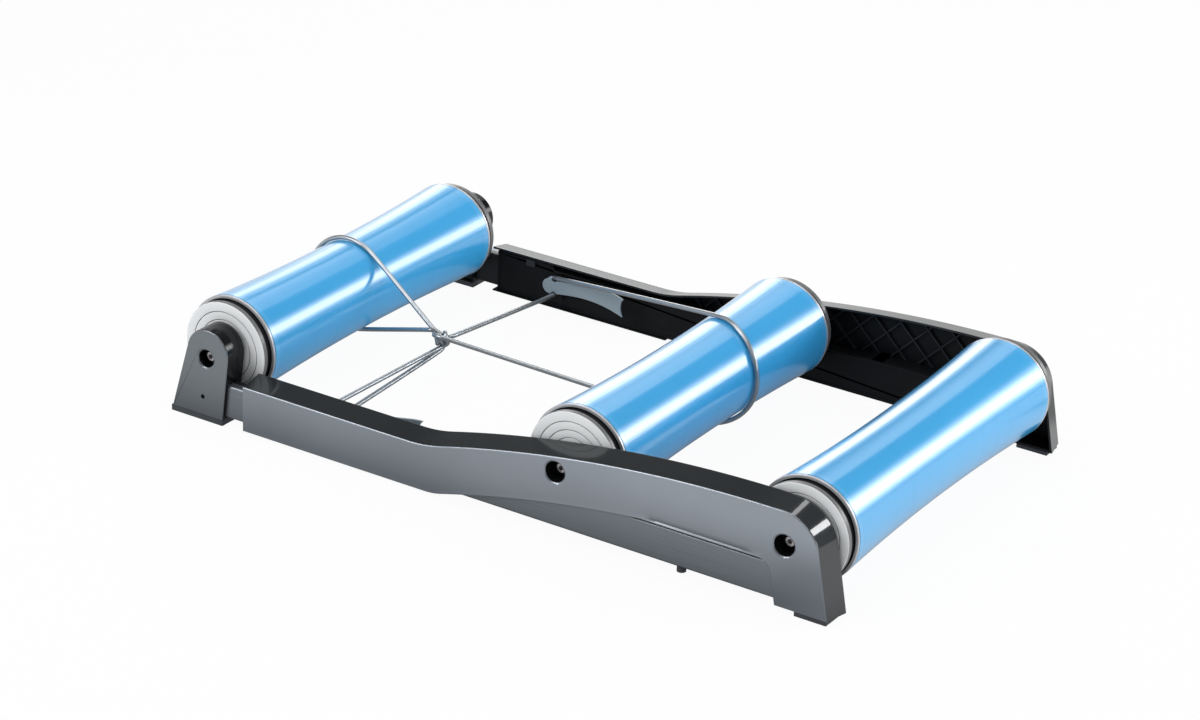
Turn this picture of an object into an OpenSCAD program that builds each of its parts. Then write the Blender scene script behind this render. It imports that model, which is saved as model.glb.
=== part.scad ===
// Bike rollers, drawn pushed together for storage. Millimetres.
// X runs along the frame with the front roller towards -X, Y runs across it, Z is up and the floor is Z 0.
// The rider faces -X, so the left side is -Y. The right side is drawn and the left side is its mirror.

/* [Layout] */
// Width over the outer faces of the two side rails
frame_w = 490; // [484:1:520]
// X of the front axle with the frame pushed together
front_axle_x = -348.5; // [-352:0.5:-344]
// Height of the front axle
front_axle_z = 72.5; // [71:0.5:74]
// X of the rear axle
rear_axle_x = 348.5; // [346:0.5:351]
// Distance between the two rear axles, where the wheel sits
wheel_pitch = 260; // [250:1:270]
// Height of the two rear axles
rear_axle_z = 71; // [70:0.5:73]

/* [Rollers] */
// Gap between the end of a roller tube and the rail beside it
roller_gap = 17; // [15:0.5:24]
// Radius of the roller at its waist
waist_r = 50; // [48:0.5:51]
// Radius of the roller at its ends
end_r = 55.6; // [55:0.2:57]
// Thickness of the coloured sleeve on the tube
sleeve_t = 0.8; // [0.6:0.1:1.2]
// Bare tube left at each end of the sleeve
sleeve_margin = 3.5; // [2:0.5:6]
// Wall of the roller tube
tube_wall = 3; // [2.5:0.1:4]
// Depth of the end plug inside the tube
plug_depth = 22; // [18:1:28]
// Width of the plug collar that shows between tube and cap
collar_w = 6.3; // [5:0.1:6.8]
// How far the plug collar stands back from the cap's rim
collar_step = 1.4; // [1:0.1:3]
// Radius of the end cap
cap_r = 52; // [50:0.5:53]
// Thickness of the end cap
cap_t = 6; // [5:0.5:6.5]
// Radii of the fine grooves turned into the cap's face
cap_grooves = [40, 29, 20]; // [15:1:48]
// Width and depth of a fine groove
groove_w = 0.8; // [0.5:0.1:1.2]
// Bevel round the cap's rim
cap_bevel = 0.8; // [0.4:0.1:1.2]
// Wall of the plug round its bearing
plug_hub_wall = 3; // [2:0.1:4]
// Wall of the plug's rim
plug_rim_wall = 4; // [3:0.1:5]
// Thickness of the plug's ribs
plug_rib_t = 2.5; // [1.6:0.1:3]
// Thickness of the plug's end wall behind the bearing
plug_end_t = 4; // [3:0.1:5]

/* [Axles and bearings] */
// Diameter of the axles
axle_d = 12; // [10:0.5:13]
// Outer diameter of the bearings
bearing_od = 28; // [26:1:32]
// Width of the bearings
bearing_w = 8; // [7:0.5:9]
// Thickness of each bearing ring
race_t = 2.6; // [2:0.1:2.8]
// Number of balls in a bearing
ball_count = 8; // [6:1:9]
// Outer diameter of the spacer sleeves on the axle
spacer_d = 17; // [16:0.5:19]
// Diameter of the axle bolts
bolt_d = 6; // [5:0.5:7]
// Diameter of the head of an axle bolt
bolt_head_d = 10; // [9:0.5:12]
// Height of the head of an axle bolt
bolt_head_h = 6; // [4:0.5:7]
// Depth of a bolt in the end of its axle
bolt_bite = 16; // [12:1:24]
// Width across the flats of the hexagon socket
hex_af = 5; // [4:0.5:6]

/* [Side rails] */
// Depth of a rail from its outer face inwards
rail_depth = 28; // [27:0.5:31]
// Wall of the moulded rails and brackets
wall = 2.8; // [2.4:0.1:3.2]
// How far the top and rear of the rail flare outwards towards the inside
flare = 6; // [3:0.5:8]
// Front end of the rail, behind the front axle
rail_start = 48.5; // [46:0.5:52]
// Height of the underside of the straight front part
rail_base_z = 3; // [2:0.5:4]
// Height of the top edge of the straight front part
rail_top_z = 53.5; // [52:0.5:56]
// Height of the top of the arch
arch_top_z = 107; // [105:0.5:110]
// Radius of the arch's top edge
arch_r = 1500; // [1450:10:1550]
// Arch's highest point in front of the rear axle
arch_peak = 20.5; // [15:0.5:25]
// Radius of the bend from the straight part into the arch
bend_r = 150; // [100:5:200]
// Height of the highest point of the arch's underside circle
under_top_z = 57; // [55:0.5:60]
// Radius of the arch's underside
under_r = 1400; // [1350:10:1450]
// Radius of the bend at the start of the arch's underside
under_bend_r = 80; // [60:5:120]
// Height of the flat that ends the underside
under_flat_z = 50; // [49.5:0.1:51]
// Radius of the rear top corner
corner_r = 42; // [38:1:46]
// Lean of the rear leg
leg_lean = 11; // [8:0.5:13]
// Foot of the leg's rear edge, behind the rear axle
leg_reach = 51.5; // [49:0.5:54]
// Length of the leg along X at the floor
leg_w = 57.6; // [54:0.5:60]
// Height of the underside of the leg
leg_base_z = 5.5; // [5:0.5:6.5]
// Radius between the underside flat and the leg
leg_fillet = 15; // [12:1:18]
// Spacing of the diagonal stiffening ribs along X
rib_pitch = 32.5; // [28:0.5:40]
// Thickness of a stiffening rib
rib_t = 1.6; // [1.2:0.1:2.4]
// Height of a stiffening rib from the wall
rib_h = 4; // [3:0.5:6]
// Height at which the ribs cross
rib_cross_z = 78; // [74:0.5:82]
// Where the ribs cross, behind the middle axle
rib_cross_x = 71.5; // [60:0.5:80]
// Height of the pads that steer the bar's outer face
pad_h = 4; // [3:0.5:6]
// Pads' distance from the edges of the bar
pad_in = 6; // [4:0.5:8]
// Radius of the access hole over an axle bolt
access_r = 11.2; // [10:0.2:12]
// Wall of the tube round an access hole
boss_wall = 3.2; // [2.5:0.1:4]
// Inner end of the axle seats, from the rail's outer face
seat_depth = 21.5; // [21:0.5:24]
// Thickness of the web that an axle bolt clamps
web_t = 4; // [3:0.5:6]

/* [Slide bars and guides] */
// Width of the slide bar across the frame
bar_w = 17.5; // [16:0.5:18]
// Height of the slide bar
bar_h = 37.4; // [36:0.2:38]
// Wall of the slide bar
bar_wall = 2; // [1.5:0.1:2.5]
// Corner radius of the slide bar
bar_corner_r = 2.5; // [2:0.1:4]
// Height of the underside of the slide bar
bar_z = 9.6; // [9.4:0.1:10]
// Slide bar's outer face, from the rail's outer face
bar_inset = 4.8; // [4.4:0.1:5.5]
// Front end of the bar, in front of the front axle
bar_nose = 20; // [16:1:22]
// Rear end of the bar, behind the rear axle
bar_tail = 2.5; // [0:0.5:8]
// Running gap round the slide bar
slide_gap = 0.3; // [0.2:0.05:0.5]
// Thickness of the guide channel
guide_t = 3; // [2.5:0.1:3.4]
// Thickness of the guide's upper and lower ledges
ledge_t = 2.5; // [2:0.1:2.6]
// Depth of the guide's ledges from its inner face
ledge_d = 15; // [12:0.5:16]
// Start of the guide behind the rail's front end
guide_set = 5; // [3:0.5:8]
// Length of the guide's tall front block
block_len = 78; // [70:1:84]
// Height of the top of the tall front block
block_top_z = 55; // [54:0.2:55.2]
// Slope at the rear of the tall front block
block_slope = 4; // [2:0.5:6]
// Length of the latch tab on the front block
tab_len = 12; // [8:0.5:16]
// Height of the latch tab
tab_h = 8; // [5:0.5:10]
// How far the latch tab stands off the guide
tab_t = 1.2; // [0.8:0.1:2]
// End of the guide in front of the rear axle
guide_end = 11.5; // [10:0.5:14]

/* [Belt hooks] */
// Hook's post, behind the rail's front end
hook_x = 84; // [80:1:88]
// Height of the hook's post
hook_z = 34; // [32:0.5:36]
// Radius of the post that the belt turns round
post_r = 5.5; // [5:0.1:6]
// Gap between the guide and the hook's plate
hook_gap = 6.4; // [6.2:0.1:7]
// Thickness of the hook's plate
hook_t = 2.5; // [2:0.1:3]
// Radius of the hook's round head
hook_head_r = 9; // [8.5:0.1:9.5]
// Centre of the round head in front of the post
hook_head_x = 3; // [2:0.5:4]
// Length of the plate behind the post
hook_len = 106; // [96:1:112]
// Height of the plate's tail
hook_tail_h = 32; // [28:1:34]
// Flat length of the plate behind the post
hook_flat = 16; // [12:1:24]
// Radius of the plate's outward curve
hook_curve_r = 205; // [180:5:240]
// Length of the web that ties the plate to the guide
hook_web_len = 42; // [36:1:50]
// Height of that web
hook_web_h = 8; // [6:0.5:10]
// Diameter of the small screw beside a hook
guide_screw_d = 3; // [2.5:0.5:3.5]
// Small screw behind the hook's post
guide_screw_back = 8; // [6:0.5:10]
// Small screw below the hook's post
guide_screw_drop = 15; // [13:0.5:17]

/* [Drive belt] */
// Diameter of the drive belt
belt_d = 5.5; // [5:0.1:6]
// Space between the belt and a post
belt_play = 0.75; // [0.5:0.05:1.2]
// Space between the belt and a roller's waist
belt_lift = 1.4; // [1:0.1:2]
// Room round the belt in a notch of the hook
notch_play = 0.9; // [0.5:0.05:1.2]
// Crossing of the three strands, behind the hook's post
knot_back = 4; // [0:1:12]
// Crossing of the three strands, to the left of the middle
knot_side = 10; // [6:1:16]
// Height of the crossing
knot_z = 50; // [48:1:56]

/* [Front brackets] */
// Radius of the round top of a bracket
bracket_r = 27; // [26:0.5:29]
// Centre of the round top behind the front axle
bracket_back = 2; // [0:0.5:3]
// Centre of the round top above the front axle
bracket_up = 6; // [5:0.5:7]
// Bracket's front lower corner, in front of the front axle
bracket_toe = 46; // [44:0.5:48]
// Bracket's rear lower corner, behind the front axle
bracket_heel = 21; // [20:0.5:23]
// Height of the underside of a bracket
bracket_base_z = 6.5; // [6:0.5:7]
// Radius of the access hole in a bracket
bracket_access_r = 9.7; // [9:0.1:10.5]
// Depth of a bracket's web, from its outer face
bracket_web = 14; // [13:0.5:15]
// Thickness of the cover inside a bracket
cover_t = 2.2; // [1.8:0.1:3]
// How far the cover is set in from the bracket's inner face
cover_set = 2; // [1:0.1:2.4]
// Diameter of the bracket's cross screw
cross_screw_d = 4; // [3:0.5:4]
// Cross screw in front of the front axle
cross_screw_x = 4.7; // [3:0.1:6]
// Height of the cross screw
cross_screw_z = 28; // [24:1:32]
// Wall of the tube round the cross screw
cross_wall = 3; // [2:0.1:4]

/* [Feet] */
// Inset of a foot pad from the rail's outer face
foot_inset = 1.4; // [1:0.1:3]
// Width of a foot pad across the frame
foot_w = 24; // [20:0.5:25]
// Length of a rear foot pad
rear_foot_len = 35; // [30:1:42]
// Length of a front foot pad
front_foot_len = 68; // [60:1:69]
// Depth of a foot pad's key in the part above
foot_key = 1.5; // [1:0.1:2]
// Rim of a foot pad round its key
foot_rim = 5; // [4:0.5:6]
// Diameter of the small foot under each guide
mid_foot_d = 9.6; // [8:0.2:11]
// Diameter of the peg on the small foot
mid_peg_d = 4; // [3:0.5:5]
// Small foot in front of the rear axle
mid_foot_x = 119.5; // [110:0.5:130]

/* [Hidden] */
$fn = 72;
eps = 0.01;

// Gap left between seated parts of one assembly
seat_gap = 0.05;
// Gap round a part that turns inside another
turn_gap = 0.4;

// Places across the frame, measured from the middle
outer_y = frame_w / 2;
inner_y = outer_y - rail_depth;
seat_y = outer_y - seat_depth;
bar_out_y = outer_y - bar_inset;
bar_in_y = bar_out_y - bar_w;
guide_out_y = bar_in_y - slide_gap;
guide_in_y = guide_out_y - guide_t;
hook_back_y = guide_in_y - hook_gap;
hook_face_y = hook_back_y - hook_t;
strand_y = (hook_back_y + guide_in_y) / 2;

// Places along the frame
middle_axle_x = rear_axle_x - wheel_pitch;
rail_x = front_axle_x + rail_start;
guide_x0 = rail_x + guide_set;
guide_x1 = rear_axle_x - guide_end;
block_x1 = guide_x0 + block_len;
arch_x = rear_axle_x - arch_peak;
leg_rear_x = rear_axle_x + leg_reach;
leg_front_x = leg_rear_x - leg_w;
bar_x0 = front_axle_x - bar_nose;
bar_x1 = rear_axle_x + bar_tail;
post_x = rail_x + hook_x;
ledge_low_z = bar_z - slide_gap - ledge_t;
ledge_high_z = bar_z + bar_h + slide_gap;

// Bend from the straight part into the top of the arch
arch_cz = arch_top_z - arch_r;
bend_cz = rail_top_z + bend_r;
bend_cx = arch_x - sqrt(pow(arch_r + bend_r, 2) - pow(bend_cz - arch_cz, 2));
bend_a = atan2(bend_cz - arch_cz, bend_cx - arch_x);

// Bend from the straight part into the underside of the arch
under_cz = under_top_z - under_r;
under_bend_cz = rail_base_z + under_bend_r;
under_bend_cx = arch_x - sqrt(pow(under_r + under_bend_r, 2) - pow(under_bend_cz - under_cz, 2));
under_a = atan2(under_bend_cz - under_cz, under_bend_cx - arch_x);
flat_a = 180 - asin((under_flat_z - under_cz) / under_r);
flat_x0 = arch_x + under_r * cos(flat_a);

// Rear corner and the fillet between the flat and the leg
corner_cz = arch_top_z - corner_r;
corner_cx = leg_rear_x - (corner_r + sin(leg_lean) * corner_cz) / cos(leg_lean);
fillet_cz = under_flat_z - leg_fillet;
fillet_cx = leg_front_x - (leg_fillet + sin(leg_lean) * fillet_cz) / cos(leg_lean);

// Belt on its way round the hooks and through their notches
turn_r = post_r + belt_d / 2 + belt_play;
notch_x = hook_head_x;
notch_z = turn_r + 0.2;

// Cross screws, guide screws and small feet
cross_x = front_axle_x - cross_screw_x;
guide_screw_x = post_x + guide_screw_back;
guide_screw_z = hook_z - guide_screw_drop;
mid_foot_cx = rear_axle_x - mid_foot_x;
rear_foot_x0 = leg_x(leg_rear_x, leg_base_z) - rear_foot_len - 1;
front_foot_x0 = front_axle_x + bracket_heel - front_foot_len - 1;

// Centre of a bracket's round top
bracket_cx = front_axle_x + bracket_back;
bracket_cz = front_axle_z + bracket_up;
mid_foot_cy = guide_in_y + ledge_d * 2 / 3;

// Balls that run between the bearing rings
ball_ring_r = (axle_d + bearing_od) / 4;
ball_r = (bearing_od - axle_d) / 4 - race_t + 0.5;

// Waist of the rollers
half_len = inner_y - roller_gap;
waist_drop = end_r - waist_r;
waist_arc_r = (pow(half_len, 2) + pow(waist_drop, 2)) / (2 * waist_drop);
plug_r = roller_r(half_len - plug_depth) - sleeve_t - tube_wall;
cap_in_y = half_len + collar_w;
cap_out_y = cap_in_y + cap_t;
bearing_y = cap_in_y - bearing_w / 2 - 0.5;

function roller_r(y) = waist_r + waist_arc_r - sqrt(pow(waist_arc_r, 2) - pow(y, 2));

// Points of an arc in n steps. The first step is left out where another arc ends there.
function arc(cx, cy, r, a0, a1, n, first = 0) = [
    for (i = [first:n]) let (a = a0 + (a1 - a0) * i / n) [cx + r * cos(a), cy + r * sin(a)]
];

// Edge of a rail from the foot of the leg over the arch to the front end, drawn in by inset
function rail_edge(inset) = concat(
    [[leg_x(leg_rear_x, leg_base_z) - inset / cos(leg_lean), leg_base_z]],
    arc(corner_cx, corner_cz, corner_r - inset, leg_lean, 90, 12),
    arc(arch_x, arch_cz, arch_r - inset, 90, bend_a, 16),
    arc(bend_cx, bend_cz, bend_r + inset, bend_a + 180, 270, 6, 1),
    [[rail_x, rail_top_z - inset]]
);

// Side outline of a rail, with its flanged edge drawn in by inset
function rail_outline(inset) = concat(
    [[rail_x, rail_base_z]],
    arc(under_bend_cx, under_bend_cz, under_bend_r, 270, under_a + 180, 4),
    arc(arch_x, under_cz, under_r, under_a, flat_a, 12, 1),
    arc(fillet_cx, fillet_cz, leg_fillet, 90, leg_lean, 6),
    [[leg_x(leg_front_x, leg_base_z), leg_base_z]],
    rail_edge(inset)
);

// X of a leaning edge of the leg at height z, from its X at the floor
function leg_x(floor_x, z) = floor_x - tan(leg_lean) * z;

// Angle at which a line from a corner of a bracket touches its round top
function tangent_a(px, pz, r, side) =
    atan2(pz - bracket_cz, px - bracket_cx) + side * acos(r / norm([px - bracket_cx, pz - bracket_cz]));

// Side outline of a front bracket, drawn in by inset
function bracket_outline(inset) =
    let (
        toe = front_axle_x - bracket_toe + inset,
        heel = front_axle_x + bracket_heel - inset,
        z0 = bracket_base_z + inset,
        r = bracket_r - inset
    )
    concat(
        [[toe, z0], [heel, z0]],
        arc(bracket_cx, bracket_cz, r, tangent_a(heel, z0, r, 1), tangent_a(toe, z0, r, -1) + 360, 20)
    );

// Copies a right side part to the side that s names: 1 is right and -1 is left
module on_side(s) {
    if (s > 0) children();
    else mirror([0, 1, 0]) children();
}

// Extrudes an outline drawn in X and Z, from y inwards
module upright(y, t) {
    translate([0, y, 0]) rotate([90, 0, 0]) linear_extrude(t) children();
}

// Extrudes a section drawn in Y and Z along X
module along_x(x0, x1) {
    translate([x0, 0, 0]) rotate([90, 0, 90]) linear_extrude(x1 - x0) children();
}

// Round bar along Y
module bar_y(x, z, y0, y1, r) {
    translate([x, y0, z]) rotate([-90, 0, 0]) cylinder(r = r, h = y1 - y0);
}

// Hexagon bar along Y
module hex_y(x, z, y0, y1, af) {
    translate([x, y0, z]) rotate([-90, 0, 0]) cylinder(r = af / 2 / cos(30), h = y1 - y0, $fn = 6);
}

// Flange along the rail's edge. Its section leans outwards by flare towards the inside.
module rail_flange() {
    corners = [
        [0, outer_y],
        [-flare, inner_y],
        [wall - flare, inner_y],
        [wall, outer_y]
    ];
    lines = [for (c = corners) [for (q = rail_edge(c[0])) [q[0], c[1], q[1]]]];
    last = len(lines[0]) - 1;
    points = [for (i = [0:last]) for (k = [0:3]) lines[k][i]];
    sides = [
        for (i = [0:last - 1]) for (k = [0:3])
            let (a = 4 * i + k, b = 4 * i + (k + 1) % 4)
            for (tri = [[a, b, b + 4], [a, b + 4, a + 4]]) tri
    ];
    ends = [[3, 2, 1, 0], [4 * last, 4 * last + 1, 4 * last + 2, 4 * last + 3]];
    polyhedron(points, concat(sides, ends));
}

// Floor of the leg, which the foot pad is keyed into
module leg_floor() {
    front = leg_x(leg_front_x, leg_base_z);
    rear = leg_x(leg_rear_x, leg_base_z) - wall / 2;
    translate([0, 0, leg_base_z])
        linear_extrude(wall)
        polygon([
            [front, outer_y - 1],
            [front, inner_y],
            [rear + flare, inner_y],
            [rear, outer_y - 1]
        ]);
}

// Flat flange that closes the underside in front of the leg
module under_flange() {
    y1 = outer_y - 1;
    translate([flat_x0, inner_y, under_flat_z]) cube([fillet_cx - flat_x0, y1 - inner_y, wall]);
}

// Flange under the straight part, which the guide stands on
module base_flange() {
    along_x(rail_x, under_bend_cx)
        polygon([
            [outer_y - 1, rail_base_z + 0.4],
            [inner_y, rail_base_z + 1],
            [inner_y, ledge_low_z],
            [outer_y - 1, ledge_low_z]
        ]);
}

// Diagonal stiffening ribs on the inside of the arch
module lattice() {
    z0 = ledge_high_z + ledge_t / 2;
    mid_x = middle_axle_x + rib_cross_x;
    span = leg_rear_x - bend_cx;
    reach = ceil(span / 2 / rib_pitch) + 2;
    upright(outer_y - wall + 0.5, rib_h + 0.5)
        difference() {
            intersection() {
                polygon(rail_outline(wall / 2));
                translate([bend_cx, z0]) square([span, arch_top_z - z0]);
                union() {
                    for (i = [-reach:reach]) for (lean = [-45, 45])
                        translate([mid_x + i * rib_pitch, rib_cross_z])
                            rotate(lean)
                            square([rib_t, 2 * arch_top_z], center = true);
                }
            }
            translate([middle_axle_x, rear_axle_z]) circle(r = access_r + 1);
            translate([rear_axle_x, rear_axle_z]) circle(r = access_r + 1);
        }
}

// Pads inside the straight part that steer the bar's outer face
module guide_pads() {
    pad_y = bar_out_y + slide_gap;
    for (z = [bar_z + pad_in, bar_z + bar_h - pad_in - pad_h])
        translate([rail_x, pad_y, z]) cube([under_bend_cx - rail_x, outer_y - wall + 0.5 - pad_y, pad_h]);
}

module rail(s) {
    color([0.46, 0.47, 0.49])
        on_side(s)
        difference() {
            union() {
                upright(outer_y, wall) polygon(rail_outline(wall / 2));
                rail_flange();
                base_flange();
                under_flange();
                leg_floor();
                lattice();
                guide_pads();
                for (x = [middle_axle_x, rear_axle_x])
                    bar_y(x, rear_axle_z, seat_y, outer_y - wall / 2, access_r + boss_wall);
            }
            for (x = [middle_axle_x, rear_axle_x]) {
                bar_y(x, rear_axle_z, seat_y + web_t, outer_y + 1, access_r);
                bar_y(x, rear_axle_z, seat_y - 1, seat_y + web_t + 1, bolt_d / 2 + seat_gap);
            }
            foot_slot(rear_foot_x0, rear_foot_len, leg_base_z);
        }
}

// Pocket that takes the key of a foot pad
module foot_slot(x0, len, z) {
    room = foot_rim - seat_gap;
    translate([x0 + room, outer_y - foot_inset - foot_w + room, z - 1])
        cube([len - 2 * room, foot_w - 2 * room, foot_key + 1 + seat_gap]);
}

module foot_pad(x0, len, z) {
    y0 = outer_y - foot_inset - foot_w;
    translate([x0, y0, 0]) cube([len, foot_w, z]);
    translate([x0 + foot_rim, y0 + foot_rim, z - eps])
        cube([len - 2 * foot_rim, foot_w - 2 * foot_rim, foot_key + eps]);
}

module rear_foot(s) {
    color([0.08, 0.08, 0.09]) on_side(s) foot_pad(rear_foot_x0, rear_foot_len, leg_base_z);
}

module front_foot(s) {
    color([0.08, 0.08, 0.09]) on_side(s) foot_pad(front_foot_x0, front_foot_len, bracket_base_z);
}

// Channel that closes the rail and carries the bar
module slide_guide(s) {
    color([0.07, 0.07, 0.08])
        on_side(s)
        difference() {
            union() {
                translate([guide_x0, guide_in_y, ledge_low_z])
                    cube([guide_x1 - guide_x0, guide_t, ledge_high_z + ledge_t - ledge_low_z]);
                for (z = [ledge_low_z, ledge_high_z])
                    translate([guide_x0, guide_in_y, z]) cube([guide_x1 - guide_x0, ledge_d, ledge_t]);
                upright(guide_out_y, guide_t)
                    polygon([
                        [guide_x0, ledge_high_z],
                        [block_x1, ledge_high_z],
                        [block_x1, ledge_high_z + ledge_t],
                        [block_x1 - block_slope, block_top_z],
                        [guide_x0, block_top_z]
                    ]);
                translate([guide_x0 + block_len / 2, guide_in_y - tab_t, block_top_z - tab_h])
                    cube([tab_len, tab_t + 1, tab_h]);
            }
            bar_y(guide_screw_x, guide_screw_z, guide_in_y - 1, guide_out_y + 1, guide_screw_d / 2 + seat_gap);
            translate([mid_foot_cx, mid_foot_cy, ledge_low_z - 1])
                cylinder(d = mid_peg_d + 2 * seat_gap, h = ledge_t + 2);
        }
}

// Small screws that hold the guides, one beside each hook
module guide_screws() {
    color([0.3, 0.3, 0.32])
        for (s = [-1, 1]) on_side(s) {
            difference() {
                bar_y(guide_screw_x, guide_screw_z, guide_in_y - 1.4, guide_in_y, guide_screw_d);
                hex_y(guide_screw_x, guide_screw_z, guide_in_y - 2, guide_in_y - 0.7, 2);
            }
            bar_y(guide_screw_x, guide_screw_z, guide_in_y - 0.5, guide_out_y - seat_gap, guide_screw_d / 2);
        }
}

module mid_foot(s) {
    color([0.08, 0.08, 0.09])
        on_side(s)
        translate([mid_foot_cx, mid_foot_cy, 0]) {
            cylinder(d = mid_foot_d, h = ledge_low_z);
            cylinder(d = mid_peg_d, h = ledge_low_z + ledge_t - 0.5);
        }
}

// Corners of the hook's plate, as shares of its length and its tail's height
hook_shares = [
    [0, -0.19], [0.1, -0.28], [0.28, -0.31], [0.52, -0.34], [0.72, -0.375], [0.87, -0.31],
    [0.98, -0.16], [1, 0.47], [0.89, 0.625], [0.53, 0.42], [0.21, 0.28], [0, 0.19]
];

// Side outline of a belt hook: a round head, a waist and a tail that ends in two horns
module hook_outline() {
    notch_r = belt_d / 2 + notch_play;
    translate([post_x, hook_z])
        difference() {
            union() {
                translate([-hook_head_x, 0]) circle(r = hook_head_r);
                polygon([for (p = hook_shares) [p[0] * hook_len, p[1] * hook_tail_h]]);
            }
            translate([1.066 * hook_len, 0.172 * hook_tail_h]) circle(r = 0.36 * hook_tail_h);
            translate([0.953 * hook_len, 0.672 * hook_tail_h]) circle(r = 0.14 * hook_tail_h);
            for (z = [-notch_z, notch_z])
                translate([notch_x, z]) circle(r = notch_r);
        }
}

// Plate of a belt hook, bent away from the guide towards its tail
module belt_hook(s) {
    front = post_x - hook_head_x - hook_head_r - 1;
    tail = post_x + hook_flat;
    high = 2 * hook_z;
    color([0.47, 0.52, 0.55])
        on_side(s) {
            intersection() {
                upright(hook_back_y + 1, hook_len / 2) hook_outline();
                union() {
                    translate([front, hook_face_y, 0]) cube([tail - front, hook_t, high]);
                    translate([tail, hook_back_y - hook_curve_r, 0])
                        intersection() {
                            difference() {
                                cylinder(r = hook_curve_r, h = high, $fn = 720);
                                translate([0, 0, -1])
                                    cylinder(r = hook_curve_r - hook_t, h = high + 2, $fn = 720);
                            }
                            translate([0, 0, -2]) cube([hook_len, hook_curve_r * 2, high + 4]);
                        }
                }
            }
            bar_y(post_x, hook_z, hook_back_y - 0.5, guide_in_y, post_r);
            translate([post_x, hook_back_y - 0.5, hook_z - hook_web_h / 2])
                cube([hook_web_len, guide_in_y - hook_back_y + 0.5, hook_web_h]);
        }
}

// Section of the hollow slide bar, drawn in Y and Z
module bar_section(inset) {
    y0 = bar_in_y + inset;
    z0 = bar_z + inset;
    w = bar_w - 2 * inset;
    h = bar_h - 2 * inset;
    r = bar_corner_r - inset * 0.8;
    union() {
        translate([y0 + r, z0]) square([w - 2 * r, h]);
        translate([y0, z0 + r]) square([w, h - 2 * r]);
        for (y = [y0 + r, y0 + w - r]) for (z = [z0 + r, z0 + h - r])
            translate([y, z]) circle(r = r);
    }
}

module slide_bar(s) {
    color([0.44, 0.46, 0.48])
        on_side(s)
        difference() {
            along_x(bar_x0, bar_x1) bar_section(0);
            along_x(bar_x0 - 1, bar_x1 + 1) bar_section(bar_wall);
            bar_y(cross_x, cross_screw_z, bar_out_y - bar_wall - 1, bar_out_y + 1, cross_screw_d / 2 + seat_gap);
        }
}

// Shell that carries the front axle and the end of the bar
module front_bracket(s) {
    web_y = outer_y - bracket_web;
    cover_y = inner_y + cover_set;
    color([0.42, 0.43, 0.45])
        on_side(s)
        difference() {
            union() {
                difference() {
                    upright(outer_y, rail_depth) polygon(bracket_outline(0));
                    upright(outer_y - wall, rail_depth) polygon(bracket_outline(wall));
                }
                upright(cover_y + cover_t, cover_t) polygon(bracket_outline(wall / 2));
                bar_y(front_axle_x, front_axle_z, seat_y, outer_y - wall / 2, bracket_access_r + boss_wall);
                bar_y(cross_x, cross_screw_z, bar_out_y, outer_y - wall / 2, cross_screw_d / 2 + cross_wall);
            }
            bar_y(front_axle_x, front_axle_z, web_y, outer_y + 1, bracket_access_r);
            bar_y(front_axle_x, front_axle_z, seat_y - 1, web_y + 1, bolt_d / 2 + seat_gap);
            bar_y(front_axle_x, front_axle_z, inner_y - 1, seat_y - 0.5, spacer_d / 2 + turn_gap);
            bar_y(cross_x, cross_screw_z, bar_out_y - 1, outer_y + 1, cross_screw_d / 2 + seat_gap);
            bar_y(cross_x, cross_screw_z, outer_y - 2, outer_y + 1, cross_screw_d / 2 + 0.6);
            along_x(front_axle_x, front_axle_x + 2 * bracket_heel)
                translate([bar_in_y - seat_gap, bar_z - seat_gap])
                square([bar_w + 2 * seat_gap, bar_h + 2 * seat_gap]);
            foot_slot(front_foot_x0, front_foot_len, bracket_base_z);
        }
}

// Cross screws that tie the brackets to the bars
module bracket_screws() {
    color([0.2, 0.2, 0.21])
        for (s = [-1, 1]) on_side(s)
            bar_y(cross_x, cross_screw_z, bar_out_y - bar_wall - 1, outer_y - 2.2, cross_screw_d / 2);
}

// Axle with a threaded hole in each end
module axle(x, z) {
    color([0.7, 0.71, 0.73])
        difference() {
            bar_y(x, z, -seat_y, seat_y, axle_d / 2);
            for (s = [-1, 1]) on_side(s)
                bar_y(x, z, seat_y - bolt_bite - 1, seat_y + 1, bolt_d / 2 + seat_gap);
        }
}

// Pair of socket bolts that clamp an axle: head_y is the face their heads seat on
module axle_bolts(x, z, head_y) {
    color([0.75, 0.76, 0.78])
        for (s = [-1, 1]) on_side(s)
            difference() {
                union() {
                    bar_y(x, z, head_y, head_y + bolt_head_h, bolt_head_d / 2);
                    bar_y(x, z, seat_y - bolt_bite, head_y + 1, bolt_d / 2);
                }
                hex_y(x, z, head_y + bolt_head_h * 0.45, head_y + bolt_head_h + 1, hex_af);
            }
}

// Sleeves that hold the bearings off the side walls
module spacers(x, z) {
    color([0.66, 0.67, 0.69])
        for (s = [-1, 1]) on_side(s)
            difference() {
                bar_y(x, z, bearing_y + bearing_w / 2, seat_y, spacer_d / 2);
                bar_y(x, z, bearing_y, seat_y + 1, axle_d / 2 + seat_gap);
            }
}

// Grooved bearing ring between two radii
module race(x, z, r0, r1) {
    color([0.72, 0.73, 0.75])
        for (s = [-1, 1]) on_side(s)
            translate([x, bearing_y, z]) rotate([-90, 0, 0])
            rotate_extrude()
            difference() {
                translate([r0, -bearing_w / 2]) square([r1 - r0, bearing_w]);
                translate([ball_ring_r, 0]) circle(r = ball_r + 0.1);
            }
}

module inner_races(x, z) {
    race(x, z, axle_d / 2 + seat_gap, axle_d / 2 + race_t);
}

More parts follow.
